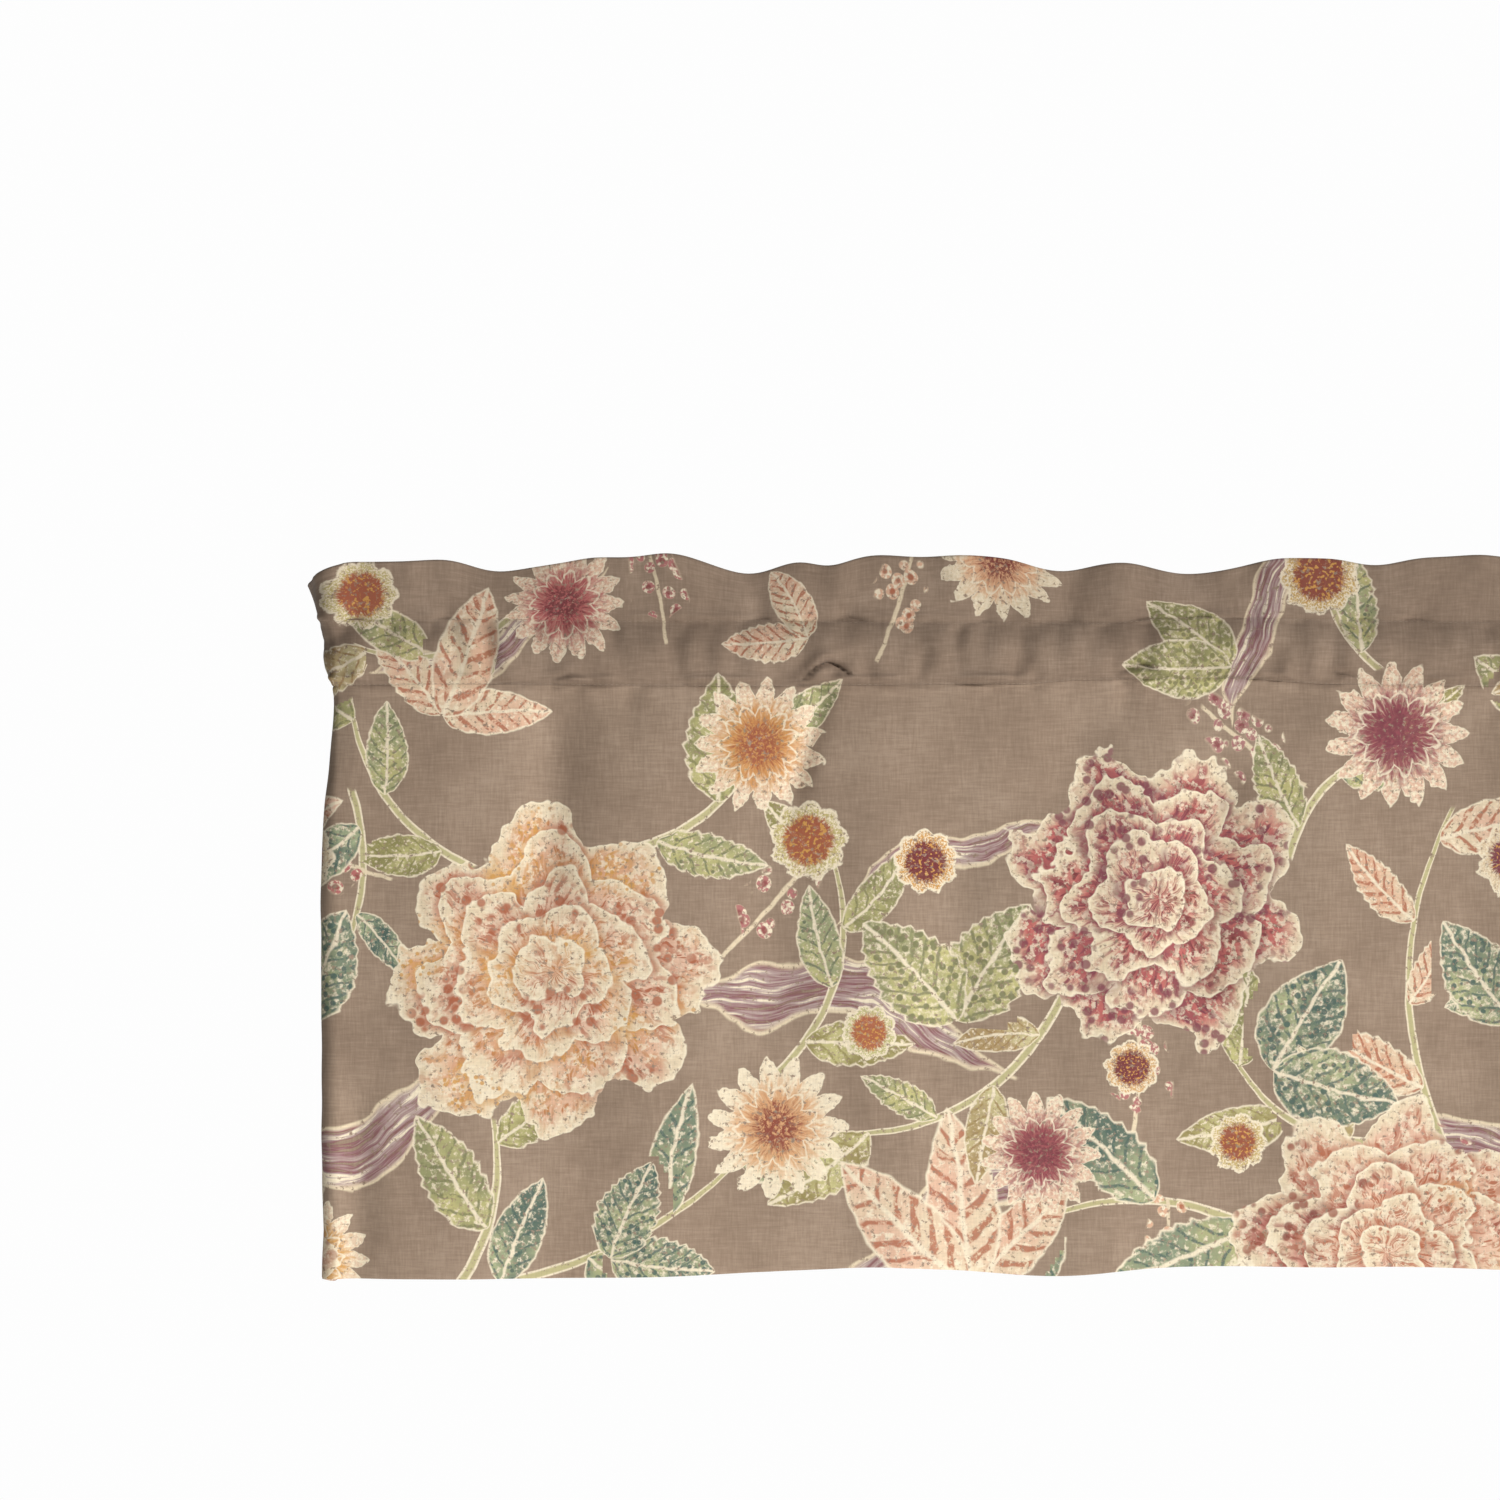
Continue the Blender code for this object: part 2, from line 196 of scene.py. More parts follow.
# Small creases that run from a seam: how many, the longest run, the height and a seed.
SMALL_DROPS = 170, 0.055, 0.0011, 11  # under the lower seam
SMALL_RISES = 130, 0.036, 0.0016, 13  # above the upper seam

# Unevenness of the cloth: how strong, the pitch of its waves, a seed, and how many waves.
Uneven = namedtuple("Uneven", "height pitch seed count", defaults=(10,))
CREST_WAVER = Uneven(0.0007, 0.028, 19)
CREST_LEAN = Uneven(0.0009, 0.035, 23)
CREST_RIPPLE = Uneven(0.0008, 0.022, 37)
POCKET_DIMPLE = Uneven(0.0004, 0.018, 31)
POCKET_SLACK = Uneven(0.0007, 0.013, 51, 16)
PANEL_SOFTNESS = Uneven(0.0006, 0.06, 3)
PANEL_DRAG = Uneven(0.00022, 0.012, 5, 14)

# These come and go along the cloth, by a share of their height.
CREST_PARTING, PARTING_SHARE = 0.0009, Uneven(1.0, 0.045, 29)  # half the crest's inner gap
SEAM_ROLL, ROLL_SHARE = 0.0012, Uneven(0.5, 0.05, 61)  # of cloth above the upper seam
OVERHANG, OVERHANG_SHARE = 0.0027, Uneven(0.8, 0.040, 43)  # of the pocket over the lower seam
PANEL_RIDGE, RIDGE_SHARE = 0.0006, Uneven(0.7, 0.04, 7)  # just under the lower seam

RETURN_LEAN = 0.0010  # of the crest
LENGTH = WIDTH / 2 + RETURN - (2 - math.pi / 2) * BEND  # of cloth, middle to a wall end


def plan(along):
    """x, y, out_x, out_y seen from above, at distances along the cloth."""
    side, gone = np.where(along < 0, -1.0, 1.0), np.abs(along)
    flat, arc = WIDTH / 2 - BEND, BEND * math.pi / 2
    turn = np.clip((gone - flat) / BEND, 0.0, math.pi / 2)
    x = np.minimum(gone, flat) + BEND * np.sin(turn)
    y = BEND * (1 - np.cos(turn)) + np.maximum(gone - flat - arc, 0.0)
    return side * x, y, side * np.sin(turn), -np.cos(turn)


def bell(distance, half):
    return np.exp(-((distance / half) ** 2))


def ramp(value):
    """0 below 0, 1 above 1, and a soft step between."""
    value = np.clip(value, 0.0, 1.0)
    return value * value * (3 - 2 * value)


def softened(at, places, values, reach):
    """Values between the given places, with the corners rounded over a reach."""
    near = [np.interp(at + step, places, values) for step in (-reach, 0.0, 0.0, reach)]
    return sum(near) / len(near)


def waves(rows, along):
    return sum(w.height * np.sin(2 * math.pi * (along - w.start) / w.length) for w in rows)


def gathered(along, column):
    return sum(getattr(g, column) * bell(along - g.at, g.half) for g in GATHERS)


def folded(along, depth):
    """How far the main folds push the panel out."""
    total = 0.0
    for f in FOLDS:
        shown = ramp((depth - f.top) / FOLD_FADE) * ramp((f.bottom - depth) / FOLD_FADE)
        centre = f.at + f.slant * (depth - f.top)
        total += f.out * shown * bell(along - centre, f.half)
    return total


def rolling(along, depth, kind):
    """Slow unevenness of a kind, from waves of its pitch or more."""
    draw = np.random.default_rng(kind.seed)
    total = 0.0
    for _ in range(kind.count):
        angle = draw.uniform(0, math.pi)
        length = kind.pitch * draw.uniform(0.8, 2.6)
        phase = draw.uniform(0, 2 * math.pi)
        way = along * math.cos(angle) + depth * math.sin(angle)
        total += np.sin(2 * math.pi * way / length + phase)
    return kind.height * (total / math.sqrt(kind.count))


def swelling(along, kind):
    """The same unevenness along the cloth alone."""
    return rolling(along, 0 * along, kind)


def pocket_reach(along, share):
    """How far the pocket's faces stand from its middle, at a share of its half height."""
    fullness = 1 - FLAT_END * at_return(along)
    return POCKET_ROOM / 2 * fullness * (1 - abs(share) ** POCKET_ROUNDING)


def with_counterparts(rows):
    """The placed rows of the near half, and uneven counterparts of them on the far half."""
    return list(rows) + [r._replace(at=MIRRORED_SHIFT - r.at * 0.97, slant=-r.slant)
                         for r in rows]


def every_crease():
    """The placed creases, and small ones between them."""
    rows = with_counterparts(CREASES)
    draw = np.random.default_rng(CREASE_SEED)
    for _ in range(SMALL_CREASES):
        rows.append(Crease(draw.uniform(-LENGTH, LENGTH), draw.uniform(0.0028, 0.0068),
                           draw.uniform(-0.0024, 0.0012), draw.uniform(0.3, 1.0),
                           draw.choice((1, -1)), draw.uniform(-0.006, 0.006)))
    return rows


def creased(along, share):
    """How far the creases push the pocket's front out, at shares of its half height."""
    total = 0.0
    for c in every_crease():
        climbed = (1 + c.seam * share) / 2  # 0 at the crease's own seam
        fade = ramp((c.reach - climbed) / (0.6 * c.reach)) * ramp(climbed / 0.10 + 0.25)
        total += c.out * fade * bell(along - c.at - c.slant * climbed, c.half * (0.7 + climbed))
    return total


def caught(along, above):
    """The troughs and swellings where cloth is caught, at heights above the lower seam."""
    total = 0.0
    for c in CATCHES:
        share = (along - c.at) / c.half
        arch = c.rise * (1 - share * share)
        there = bell(share, 0.85)
        total -= c.deep * there * bell(above - arch, 0.0013)
        total += 0.7 * c.deep * there * ramp((arch - above) / 0.004) * ramp(above / 0.002)
        total += 0.35 * c.deep * there * bell(above - arch - 0.0045, 0.0026)
    return total


def small_rises(count, longest, highest, seed):
    draw = np.random.default_rng(seed)
    rows = []
    for _ in range(count):
        at, half = draw.uniform(-LENGTH, LENGTH), draw.uniform(0.0024, 0.0065)
        run = longest * draw.uniform(0.25, 1.0) ** 1.6
        rows.append(Rise(at, half, highest * draw.uniform(-1.0, 0.6), run,
                         draw.uniform(-0.25, 0.25)))
    return rows


def run_out(along, away, rows):
    """Creases that start at a seam and die out at a distance away from it."""
    total = 0.0
    for r in rows:
        fade = ramp(1 - away / r.run) * ramp(away / 0.0015 + 0.3)
        width = r.half * (1 + 1.3 * away / r.run)
        total += r.out * fade * bell(along - r.at - r.slant * away, width)
    return total


# ------------------------------------------------------------------------ cloth shapes
def spaced(*runs):
    """Places from runs of (start, end, steps), each run starting where the last ended."""
    places = [np.linspace(a, b, n, endpoint=False) for a, b, n in runs]
    return np.append(np.concatenate(places), runs[-1][1])


def columns():
    """Places along the cloth, closer together round the corners."""
    flat, arc = WIDTH / 2 - BEND, BEND * math.pi / 2
    side = LENGTH - SIDE_HEM
    ends = 0, flat, flat + arc, side - HEM_STEP, side, LENGTH
    right = spaced(*zip(ends, ends[1:], COLUMN_STEPS))
    return np.concatenate((-right[:0:-1], right))


def at_return(along):
    """1 on the returns, 0 on the front, and a soft step round the corners."""
    return ramp((np.abs(along) - WIDTH / 2 + BEND + 0.012) / 0.022)


def near_wall(along):
    """0 at the corners, 1 at the wall ends."""
    return ramp((np.abs(along) - WIDTH / 2 + BEND) / RETURN)


def end_shift(along, depth):
    """How far the returns are pushed out, or drawn in, at depths below the top edge."""
    return at_return(along) * softened(depth, *zip(*END_SHIFTS), 0.005)


def placed(along, out, height):
    x, y, out_x, out_y = plan(along)
    out = out + end_shift(along, -height)
    shape = np.broadcast(along, out, height).shape
    spots = (x + out * out_x, y + out * out_y, height)
    return np.stack([np.broadcast_to(v, shape) for v in spots], axis=-1)


def new_piece(name, data):
    piece = bpy.data.objects.new(name, data)
    bpy.context.scene.collection.objects.link(piece)
    return piece


def closed_sheet(name, front, back, front_cloth, back_cloth, back_side):
    """A closed mesh from two facing grids of points, the front one printed.

    front_cloth and back_cloth hold each point's place on the flat cloth, and back_side
    says whether the printed side (0) or the wrong side (1) shows at the back.
    """
    rows, cols = front.shape[:2]
    number = np.arange(rows * cols).reshape(rows, cols)
    far = number + rows * cols
    faces = [quads(number), quads(far)[:, ::-1]]
    for edge, far_edge in ((number[0], far[0]), (number[-1, ::-1], far[-1, ::-1]),
                           (number[::-1, 0], far[::-1, 0]), (number[:, -1], far[:, -1])):
        faces.append(np.stack((edge[:-1], far_edge[:-1], far_edge[1:], edge[1:]), axis=1))
    faces = np.concatenate(faces)
    points = np.concatenate((front.reshape(-1, 3), back.reshape(-1, 3)))
    mesh = bpy.data.meshes.new(name)
    mesh.from_pydata(points, [], faces)
    mesh.update()
    cloth = np.concatenate((front_cloth.reshape(-1, 2), back_cloth.reshape(-1, 2)))
    side = np.concatenate((np.zeros(rows * cols), back_side.reshape(-1)))
    corners = faces.reshape(-1)
    mesh.uv_layers.new(name="cloth").data.foreach_set("uv", cloth[corners].reshape(-1))
    store(mesh, "side", "FLOAT", "value", side[corners])
    print_on(mesh, cloth[faces])
    piece = new_piece(name, mesh)
    mesh.shade_smooth()
    mesh.set_sharp_from_angle(angle=math.radians(60))
    return piece


def quads(number):
    """Faces between the rows and columns of a grid of point numbers."""
    corners = number[:-1, :-1], number[1:, :-1], number[1:, 1:], number[:-1, 1:]
    return np.stack([c.reshape(-1) for c in corners], axis=1)


def store(mesh, name, kind, field, values):
    mesh.attributes.new(name, kind, "CORNER").data.foreach_set(field, np.ravel(values))


def seam_depths(along):
    """Depths of the upper and the lower seam below the top edge."""
    at, upper, lower = zip(*SEAM_PLACES)
    return tuple(softened(along, at, depths, SEAM_SOFTNESS) for depths in (upper, lower))


def hem_depth(along):
    uneven = sum(h.drop * ramp((h.at - along) / h.run) for h in HEM_SLOPES)
    uneven += sum(h.drop * bell(along - h.at, h.run) for h in HEM_DIPS)
    return DROP + waves(HEM_WAVES, along) * 0.5 + uneven + DROOP * near_wall(along)


def panel_out(along, depth):
    """The front of the panel, measured out from the rod's line."""
    lower = seam_depths(along)[1]
    below = depth - lower
    hang = ramp(below / (hem_depth(along) - lower))
    ridge = PANEL_RIDGE * bell(below - 0.0030, 0.0022) * (0.5 + swelling(along, RIDGE_SHARE))
    soft = rolling(along, depth, PANEL_SOFTNESS) * ramp(below / 0.05)
    drag = rolling(along, depth * 0.35, PANEL_DRAG) * ramp(below / 0.02)
    creases = run_out(along, below, small_rises(*SMALL_DROPS))
    total = folded(along, depth) + soft + drag + creases + ridge
    rise = risen(below)
    free = CLOTH + LAYER_SLACK + total
    return (1 - rise) * TUCKED_OUT + rise * free - TOE_IN * near_wall(along) * hang


def risen(below):
    """0 where the panel's top edge is sewn behind the heading's, 1 where it hangs free."""
    return ramp((below + FREED_FROM) / FREED_OVER)


def make_panel():
    """The hanging cloth, its hems turned to the back."""
    along = columns()[None, :]
    hem = hem_depth(along)
    lower = seam_depths(along)[1]
    top = lower - TUCK
    rows = [top + s * (hem - HEM - HEM_STEP - top) for s in spaced(*PANEL_ROWS)[:-1]]
    rows += [hem - HEM - HEM_STEP] + [hem - HEM * s for s in spaced(*HEM_ROWS)]
    depth = np.concatenate(rows)
    out = panel_out(along, depth)
    in_hem = depth > hem - HEM - HEM_STEP / 2
    in_side = np.abs(along) > LENGTH - SIDE_HEM - HEM_STEP / 2
    turned = in_hem | (in_side & (depth > top + 0.004))
    thick = TUCKED + (CLOTH - TUCKED) * risen(depth - lower)
    back_out = out - thick * np.where(turned, 1.95, 1.0)
    rounding = CLOTH * 0.42 * bell(hem - depth, 0.0006)
    front = placed(along, out - rounding, -depth)
    back = placed(along, back_out + rounding, -depth)
    across = np.broadcast_to(along, depth.shape)
    cloth = np.stack((across, depth), axis=-1)
    turned_across = np.where(in_side, np.sign(along) * (2 * LENGTH - np.abs(along)), across)
    back_cloth = np.stack((turned_across, np.where(in_hem, 2 * hem - depth, depth)), axis=-1)
    piece = closed_sheet("panel_cloth", front, back, cloth, back_cloth,
                         np.where(turned, 0.0, 1.0))
    inner = np.abs(along[0]) < LENGTH - SIDE_HEM * 0.6
    lines = [back[-HEM_ROW_COUNT][inner]]
    for column in (SIDE_STITCH_COLUMN, -1 - SIDE_STITCH_COLUMN):
        lines.append(back[4:-HEM_ROW_COUNT, column])
    return piece, lines


Row = namedtuple("Row", "depth front back place")


def make_heading():
    """The cloth folded over the top: pocket front, crest, fold, crest, pocket back."""
    along = columns()[None, :]
    upper, lower = seam_depths(along)
    low, high = lower - SEAM_BAND, upper
    top = gathered(along, "drop") - swelling(along, CREST_WAVER)
    top += END_DROP * ramp((np.abs(along) - LENGTH + END_DROP_RUN) / END_DROP_RUN)
    lean = gathered(along, "lean") + RETURN_LEAN * at_return(along)
    lean += swelling(along, CREST_LEAN)
    puff = np.maximum(gathered(along, "puff"), 0.0)
    overhang = OVERHANG * ramp(0.30 + swelling(along, OVERHANG_SHARE))
    sag = sum(g.out * bell(along - g.at, g.half) for g in SAGS)
    seam_roll = SEAM_ROLL * ramp(0.6 + swelling(along, ROLL_SHARE))
    part = CREST_PARTING * (1.1 + swelling(along, PARTING_SHARE)).clip(0.1)
    rises = with_counterparts(RISES) + small_rises(*SMALL_RISES)
    grip = np.full_like(along, CLOTH + LAYER_SLACK)
    rows = [Row(lower - EDGE_LIFT, grip - EDGE_INSET, grip, lower)]
    for s in spaced(*POCKET_ROWS):
        depth = (low + high) / 2 - s * (low - high) / 2
        bulge = pocket_reach(along, s) + puff * math.sqrt(max(1 - s * s, 0.0))
        edge = ramp((1 - abs(s)) / 0.10)
        out = bulge + creased(along, s * np.ones_like(along)) * (0.35 + 0.65 * edge)
        out += rolling(along, depth, POCKET_DIMPLE) * edge
        out += rolling(along, depth * 0.12, POCKET_SLACK) * (1 - s * s)
        out += caught(along, lower - depth) * edge
        out += overhang * bell(s + 0.83, 0.14)
        out += sag * ramp((s + 1) / 0.08) * bell(max(s + 0.90, 0.0), 0.42)
        rows.append(Row(depth, np.maximum(out, 0.0) + grip, pocket_reach(along, s) + grip, depth))
    for share in spaced(*CREST_ROWS)[1:]:
        middle = lean * share**1.4
        gap = part * ramp(share / 0.5) * (1 - 0.5 * share)
        runs = run_out(along, share * CREST, rises)
        ripple = rolling(along, share * CREST * 0.4, CREST_RIPPLE) * share
        roll = seam_roll * bell(share * CREST - 0.0036, 0.0026)
        rows.append(Row(high - share * (high - top), middle + gap + grip + runs + ripple + roll,
                        -middle + gap * 0.8 + grip - runs * 0.6 - ripple, high * (1 - share)))
    lines = []
    for first, second in ((rows[0], rows[1]), (rows[UPPER_SEAM_ROW],) * 2):
        depth = (first.depth + second.depth) / 2
        for side, faces in ((1, first.front + second.front), (-1, first.back + second.back)):
            lines.append(placed(along, side * (faces / 2 - THREAD * 0.2), -depth)[0])
    return fold_over(along, rows, top), lines


def fold_over(along, rows, top):
    """Joins the two faces of the heading by a round fold at the top."""
    last = rows[-1]
    middle, half = (last.front - last.back) / 2, (last.front + last.back) / 2
    path = [(row.depth, row.front, row.place) for row in rows]
    for turn in np.linspace(0, math.pi, FOLD_STEPS + 1)[1:-1]:
        rise, across = (last.depth - top) * math.sin(turn), math.cos(turn)
        path.append((last.depth - rise, middle + half * across, last.place * across))
    for i, row in enumerate(rows[::-1]):
        if i % 2 == 0 or i > len(rows) - 6:
            path.append((row.depth, -row.back, -row.place))
    depth, out, place = (np.concatenate([np.broadcast_to(v, along.shape) for v in column])
                         for column in zip(*path))
    slope_out = np.gradient(out, axis=0)
    slope_up = -np.gradient(depth, axis=0)
    size = np.hypot(slope_out, slope_up)
    thick = np.full((len(path), 1), CLOTH)
    thick[:2] = THIN
    cloth = np.stack((np.broadcast_to(along, place.shape), place), axis=-1)[::-1]
    outer = placed(along, out, -depth)[::-1]
    inner = placed(along, out - thick * slope_up / size, -(depth - thick * slope_out / size))[::-1]
    return closed_sheet("heading_cloth", outer, inner, cloth, cloth, np.ones(place.shape))


# ------------------------------------------------------------------- layout of the print
# Each motif lies on the flat cloth in one repeat: at (across, down), size across a
# bloom's half or along a leaf or stem, and turn in degrees up from the right. hue picks
# the palette's place, bend curves it, and form is its fullness.
Motif = namedtuple("Motif", "across down size turn hue bend form")
MOTIF_SHARES = "turn hue bend form"  # its fields that aren't measures
Fan = namedtuple("Fan", Motif._fields + ("count", "spread"))
Stem = namedtuple("Stem", "across down size turn bend width hue leaves leaf leaf_hue")
REPEAT = 0.686
REPEAT_STARTS = tuple(0.006 + REPEAT * number for number in (-2, -1, 0, 1))

BLOOMS = table(Motif, MOTIF_SHARES,
    (172, 234, 96, 20, 0.16, 0, 0.3), (512, 192, 90, -35, 0.92, 0, 0.75),
    (646, 396, 92, 80, 0.5, 0, 0.5),
)
DAISIES = table(Motif, MOTIF_SHARES,
    (300, 322, 42, 10, 0.15, 0, 0.6), (290, 106, 40, 50, 0.55, 0, 0.3),
    (650, 100, 43, 0, 0.95, 0, 0.7), (448, 336, 36, 30, 0.9, 0, 0.4),
    (180, 26, 36, 15, 0.8, 0, 0.3), (36, 396, 36, 45, 0.5, 0, 0.5),
    (426, 0, 38, 15, 0.3, 0, 0.3),
)
STEMS = table(Stem, "turn bend hue leaves leaf_hue",
    (96, 438, 130, 70, -0.14, 3.4, 0.3, 3, 70, 0.5),
    (110, 414, 205, 26, -0.1, 2.8, 0.3, 4, 72, 0.9),
    (214, 166, 110, 42, -0.14, 2.8, 0.4, 3, 64, 0.55),
    (130, 176, 120, 126, 0.14, 2.6, 0.4, 3, 62, 0.6),
    (640, 330, 100, 148, 0.16, 2.6, 0.3, 3, 58, 0.5),
    (590, 392, 150, 174, -0.14, 3, 0.3, 3, 74, 0.95),
    (462, 246, 150, 212, 0.16, 3, 0.3, 4, 66, 0.5),
    (588, 170, 100, 40, 0.18, 2.8, 0.4, 3, 60, 0.6),
    (300, 292, 135, 78, -0.16, 2.6, 0.3, 4, 62, 0.58),
    (676, 330, 190, 88, 0.12, 2.6, 0.3, 4, 60, 0.1),
    (60, 130, 130, 258, 0.14, 2.4, 0.3, 3, 62, 0.95),
    (150, 34, 90, 190, 0.16, 2.4, 0.3, 3, 56, 0.5),
    (640, 64, 80, 110, 0.16, 2.4, 0.3, 2, 56, 0.6),
)
BRANCHES = table(Motif, MOTIF_SHARES,
    (-50, 330, 200, 16, 0.8, -0.16, 0.085), (242, 250, 200, -14, 0.9, 0.14, 0.08),
    (330, 446, 190, 34, 0.8, 0.14, 0.08), (330, 206, 150, 20, 0.9, 0.1, 0.06),
    (560, 100, 150, 58, 0.8, 0.18, 0.06), (70, 66, 150, 26, 0.8, -0.12, 0.055),
)
# Leaflets that spread from one point: how many, and by how many degrees.
FANS = table(Fan, MOTIF_SHARES + " count spread",
    (408, 412, 112, 116, 0.05, 0.1, 0.27, 4, 150), (402, 262, 104, 96, 0.6, -0.08, 0.4, 2, 66),
    (30, 262, 92, 96, 0.9, 0.1, 0.38, 2, 70), (580, 290, 98, 22, 0.94, 0.1, 0.4, 2, 84),
    (112, 90, 82, 66, 0.08, -0.1, 0.28, 3, 116), (206, 396, 80, 30, 0.92, 0.1, 0.38, 2, 84),
    (556, 62, 82, 160, 0.56, 0.1, 0.36, 2, 50), (318, 46, 66, 150, 0.08, 0.1, 0.3, 2, 80),
)
SPRAYS = table(Motif, MOTIF_SHARES,
    (268, 226, 90, 42, 0.85, 0.12, 0.26), (84, 182, 80, 165, 0.8, -0.12, 0.26),
    (356, 60, 80, 66, 0.15, 0.12, 0.28), (600, 130, 85, 150, 0.9, -0.14, 0.26),
    (500, 330, 85, 80, 0.85, 0.14, 0.28), (30, 376, 80, 130, 0.85, 0.12, 0.28),
    (238, 50, 70, 96, 0.85, 0.12, 0.28), (520, 424, 70, 84, 0.1, 0.12, 0.28),
)
BUDS = table(Motif, MOTIF_SHARES,
    (318, 160, 24, 60, 0.1, 0, 0.5), (384, 172, 20, 120, 0.5, 0, 0.5),
    (30, 170, 23, 80, 0.9, 0, 0.5), (560, 330, 18, 10, 0.2, 0, 0.5),
    (606, 10, 25, 90, 0.3, 0, 0.5), (500, 288, 17, 10, 0.6, 0, 0.5),
    (66, 20, 23, 10, 0.1, 0, 0.5), (352, 268, 17, 10, 0, 0, 0.5),
)
GOLDEN = 0.6180339887


def along_stem(stem, share):
    """Place and heading in degrees at a share of a stem's length."""
    turn = math.radians(stem.turn)
    run = share * stem.size
    rise = stem.bend * 4 * share * (1 - share) * stem.size
    across = stem.across + run * math.cos(turn) - rise * math.sin(turn)
    down = stem.down - run * math.sin(turn) - rise * math.cos(turn)
    lean = math.degrees(math.atan(stem.bend * 4 * (1 - 2 * share)))
    return across, down, stem.turn + lean


def stem_motifs():
    return [Motif(s.across, s.down, s.size, s.turn, s.hue, s.bend, s.width / s.size)
            for s in STEMS]


def leaf_motifs():
    """The leaves of every stem, in turn to either side, and the fans' leaflets."""
    rows = []
    for number, stem in enumerate(STEMS):
        draw = np.random.default_rng(100 + number)
        for i in range(stem.leaves):
            share = 0.16 + 0.74 * i / max(stem.leaves - 1, 1)
            across, down, heading = along_stem(stem, share)
            side = 1 if (i + number) % 2 else -1
            turn = heading + side * draw.uniform(38, 62)
            size = stem.leaf * draw.uniform(0.72, 1.2)
            hue = min(max(stem.leaf_hue + draw.uniform(-0.12, 0.12), 0), 1)
            form = draw.uniform(0.24, 0.33)
            rows.append(Motif(across, down, size, turn, hue, -side * draw.uniform(0, 0.22), form))
    for fan in FANS:
        motif = Motif(*fan[:-2])
        for i in range(fan.count):
            place = i / (fan.count - 1) - 0.5
            size = fan.size * (1 - 0.25 * abs(2 * place))
            rows.append(motif._replace(turn=fan.turn + fan.spread * place, size=size,
                                       bend=fan.bend * (1 if place < 0 else -1)))
    return rows


def local(motif, across, down):
    """Coordinates in a motif's own frame, where its size is 1."""
    turn = math.radians(motif.turn)
    x, y = across - motif.across, motif.down - down
    return ((x * math.cos(turn) + y * math.sin(turn)) / motif.size,
            (y * math.cos(turn) - x * math.sin(turn)) / motif.size)


def near_round(motif, u, v, edge):
    return np.hypot(u, v) < 1.12 + edge


def near_leaf(motif, u, v, edge):
    half = motif.form * 2.15 * np.clip(u + edge, 0, 1)**0.6 * np.clip(1 - u + edge, 0, 1)**0.85
    return (np.abs(v - motif.bend * u * u) < half * 1.12 + edge) & (np.abs(u - 0.5) < 0.54 + edge)


def near_arch(motif, u, v, edge):
    arch = motif.bend * 4 * u * (1 - u)
    reach = motif.form * 1.6 + 0.03 + edge
    return (np.abs(v - arch) < reach) & (np.abs(u - 0.5) < 0.53 + edge)


def near_spray(motif, u, v, edge):
    reach = motif.form * 1.2 + edge
    return (np.abs(v - motif.bend * u * u) < reach) & (np.abs(u - 0.5) < 0.56 + edge)


FACE_REACH = 0.0024  # from a face's middle to its corners
NOWHERE = 9.0  # local coordinates where a layer has no motif


def print_on(mesh, cloth):
    """Stores each layer's local coordinates and values on the face corners."""
    middle = cloth.mean(axis=1)
    for name, motifs, near, _ in LAYERS:
        place = np.full(cloth.shape[:2] + (3,), NOWHERE)
        make = np.zeros(place.shape)
        for number, motif in enumerate(motifs):
            seed = (number + 1) * GOLDEN % 1.0
            for start in REPEAT_STARTS:
                here = motif._replace(across=motif.across + start)
                close = np.abs(middle[:, 0] - here.across) < 1.3 * motif.size
                close &= np.abs(middle[:, 1] - here.down) < 1.3 * motif.size
                picked = np.flatnonzero(close)
                spot = local(here, middle[picked, 0], middle[picked, 1])
                picked = picked[near(here, *spot, FACE_REACH / motif.size)]
                u, v = local(here, cloth[picked, :, 0], cloth[picked, :, 1])
                place[picked] = np.stack((u, v, np.full_like(u, seed)), axis=-1)
                make[picked] = (motif.hue, motif.bend, motif.form)
        store(mesh, name + "_place", "FLOAT_VECTOR", "vector", place)
        store(mesh, name + "_make", "FLOAT_VECTOR", "vector", make)


# --------------------------------------------------------------------- material writing
def rgb(red, green, blue):
    """A colour from its display values out of 255."""
    parts = [v / 255 for v in (red, green, blue)]
    linear = (v / 12.92 if v < 0.04045 else ((v + 0.055) / 1.055) ** 2.4 for v in parts)
    return tuple(linear) + (1.0,)


def worked(operation, turned=False):
    """A Term's method for one kind of arithmetic, turned where the Term comes second."""
    def method(term, other):
        return term.desk.math(operation, *((other, term) if turned else (term, other)))
    return method


class Term:
    """A node's output, with arithmetic written as in ordinary code."""

    def __init__(self, desk, socket):
        self.desk, self.socket = desk, socket

    __add__ = __radd__ = worked("ADD")
    __mul__ = __rmul__ = worked("MULTIPLY")
    __sub__, __rsub__ = worked("SUBTRACT"), worked("SUBTRACT", True)
    __truediv__, __rtruediv__ = worked("DIVIDE"), worked("DIVIDE", True)
    __pow__ = worked("POWER")

    def __neg__(self):
        return self.desk.math("MULTIPLY", self, -1.0)

    def __abs__(self):
        return self.desk.math("ABSOLUTE", self)


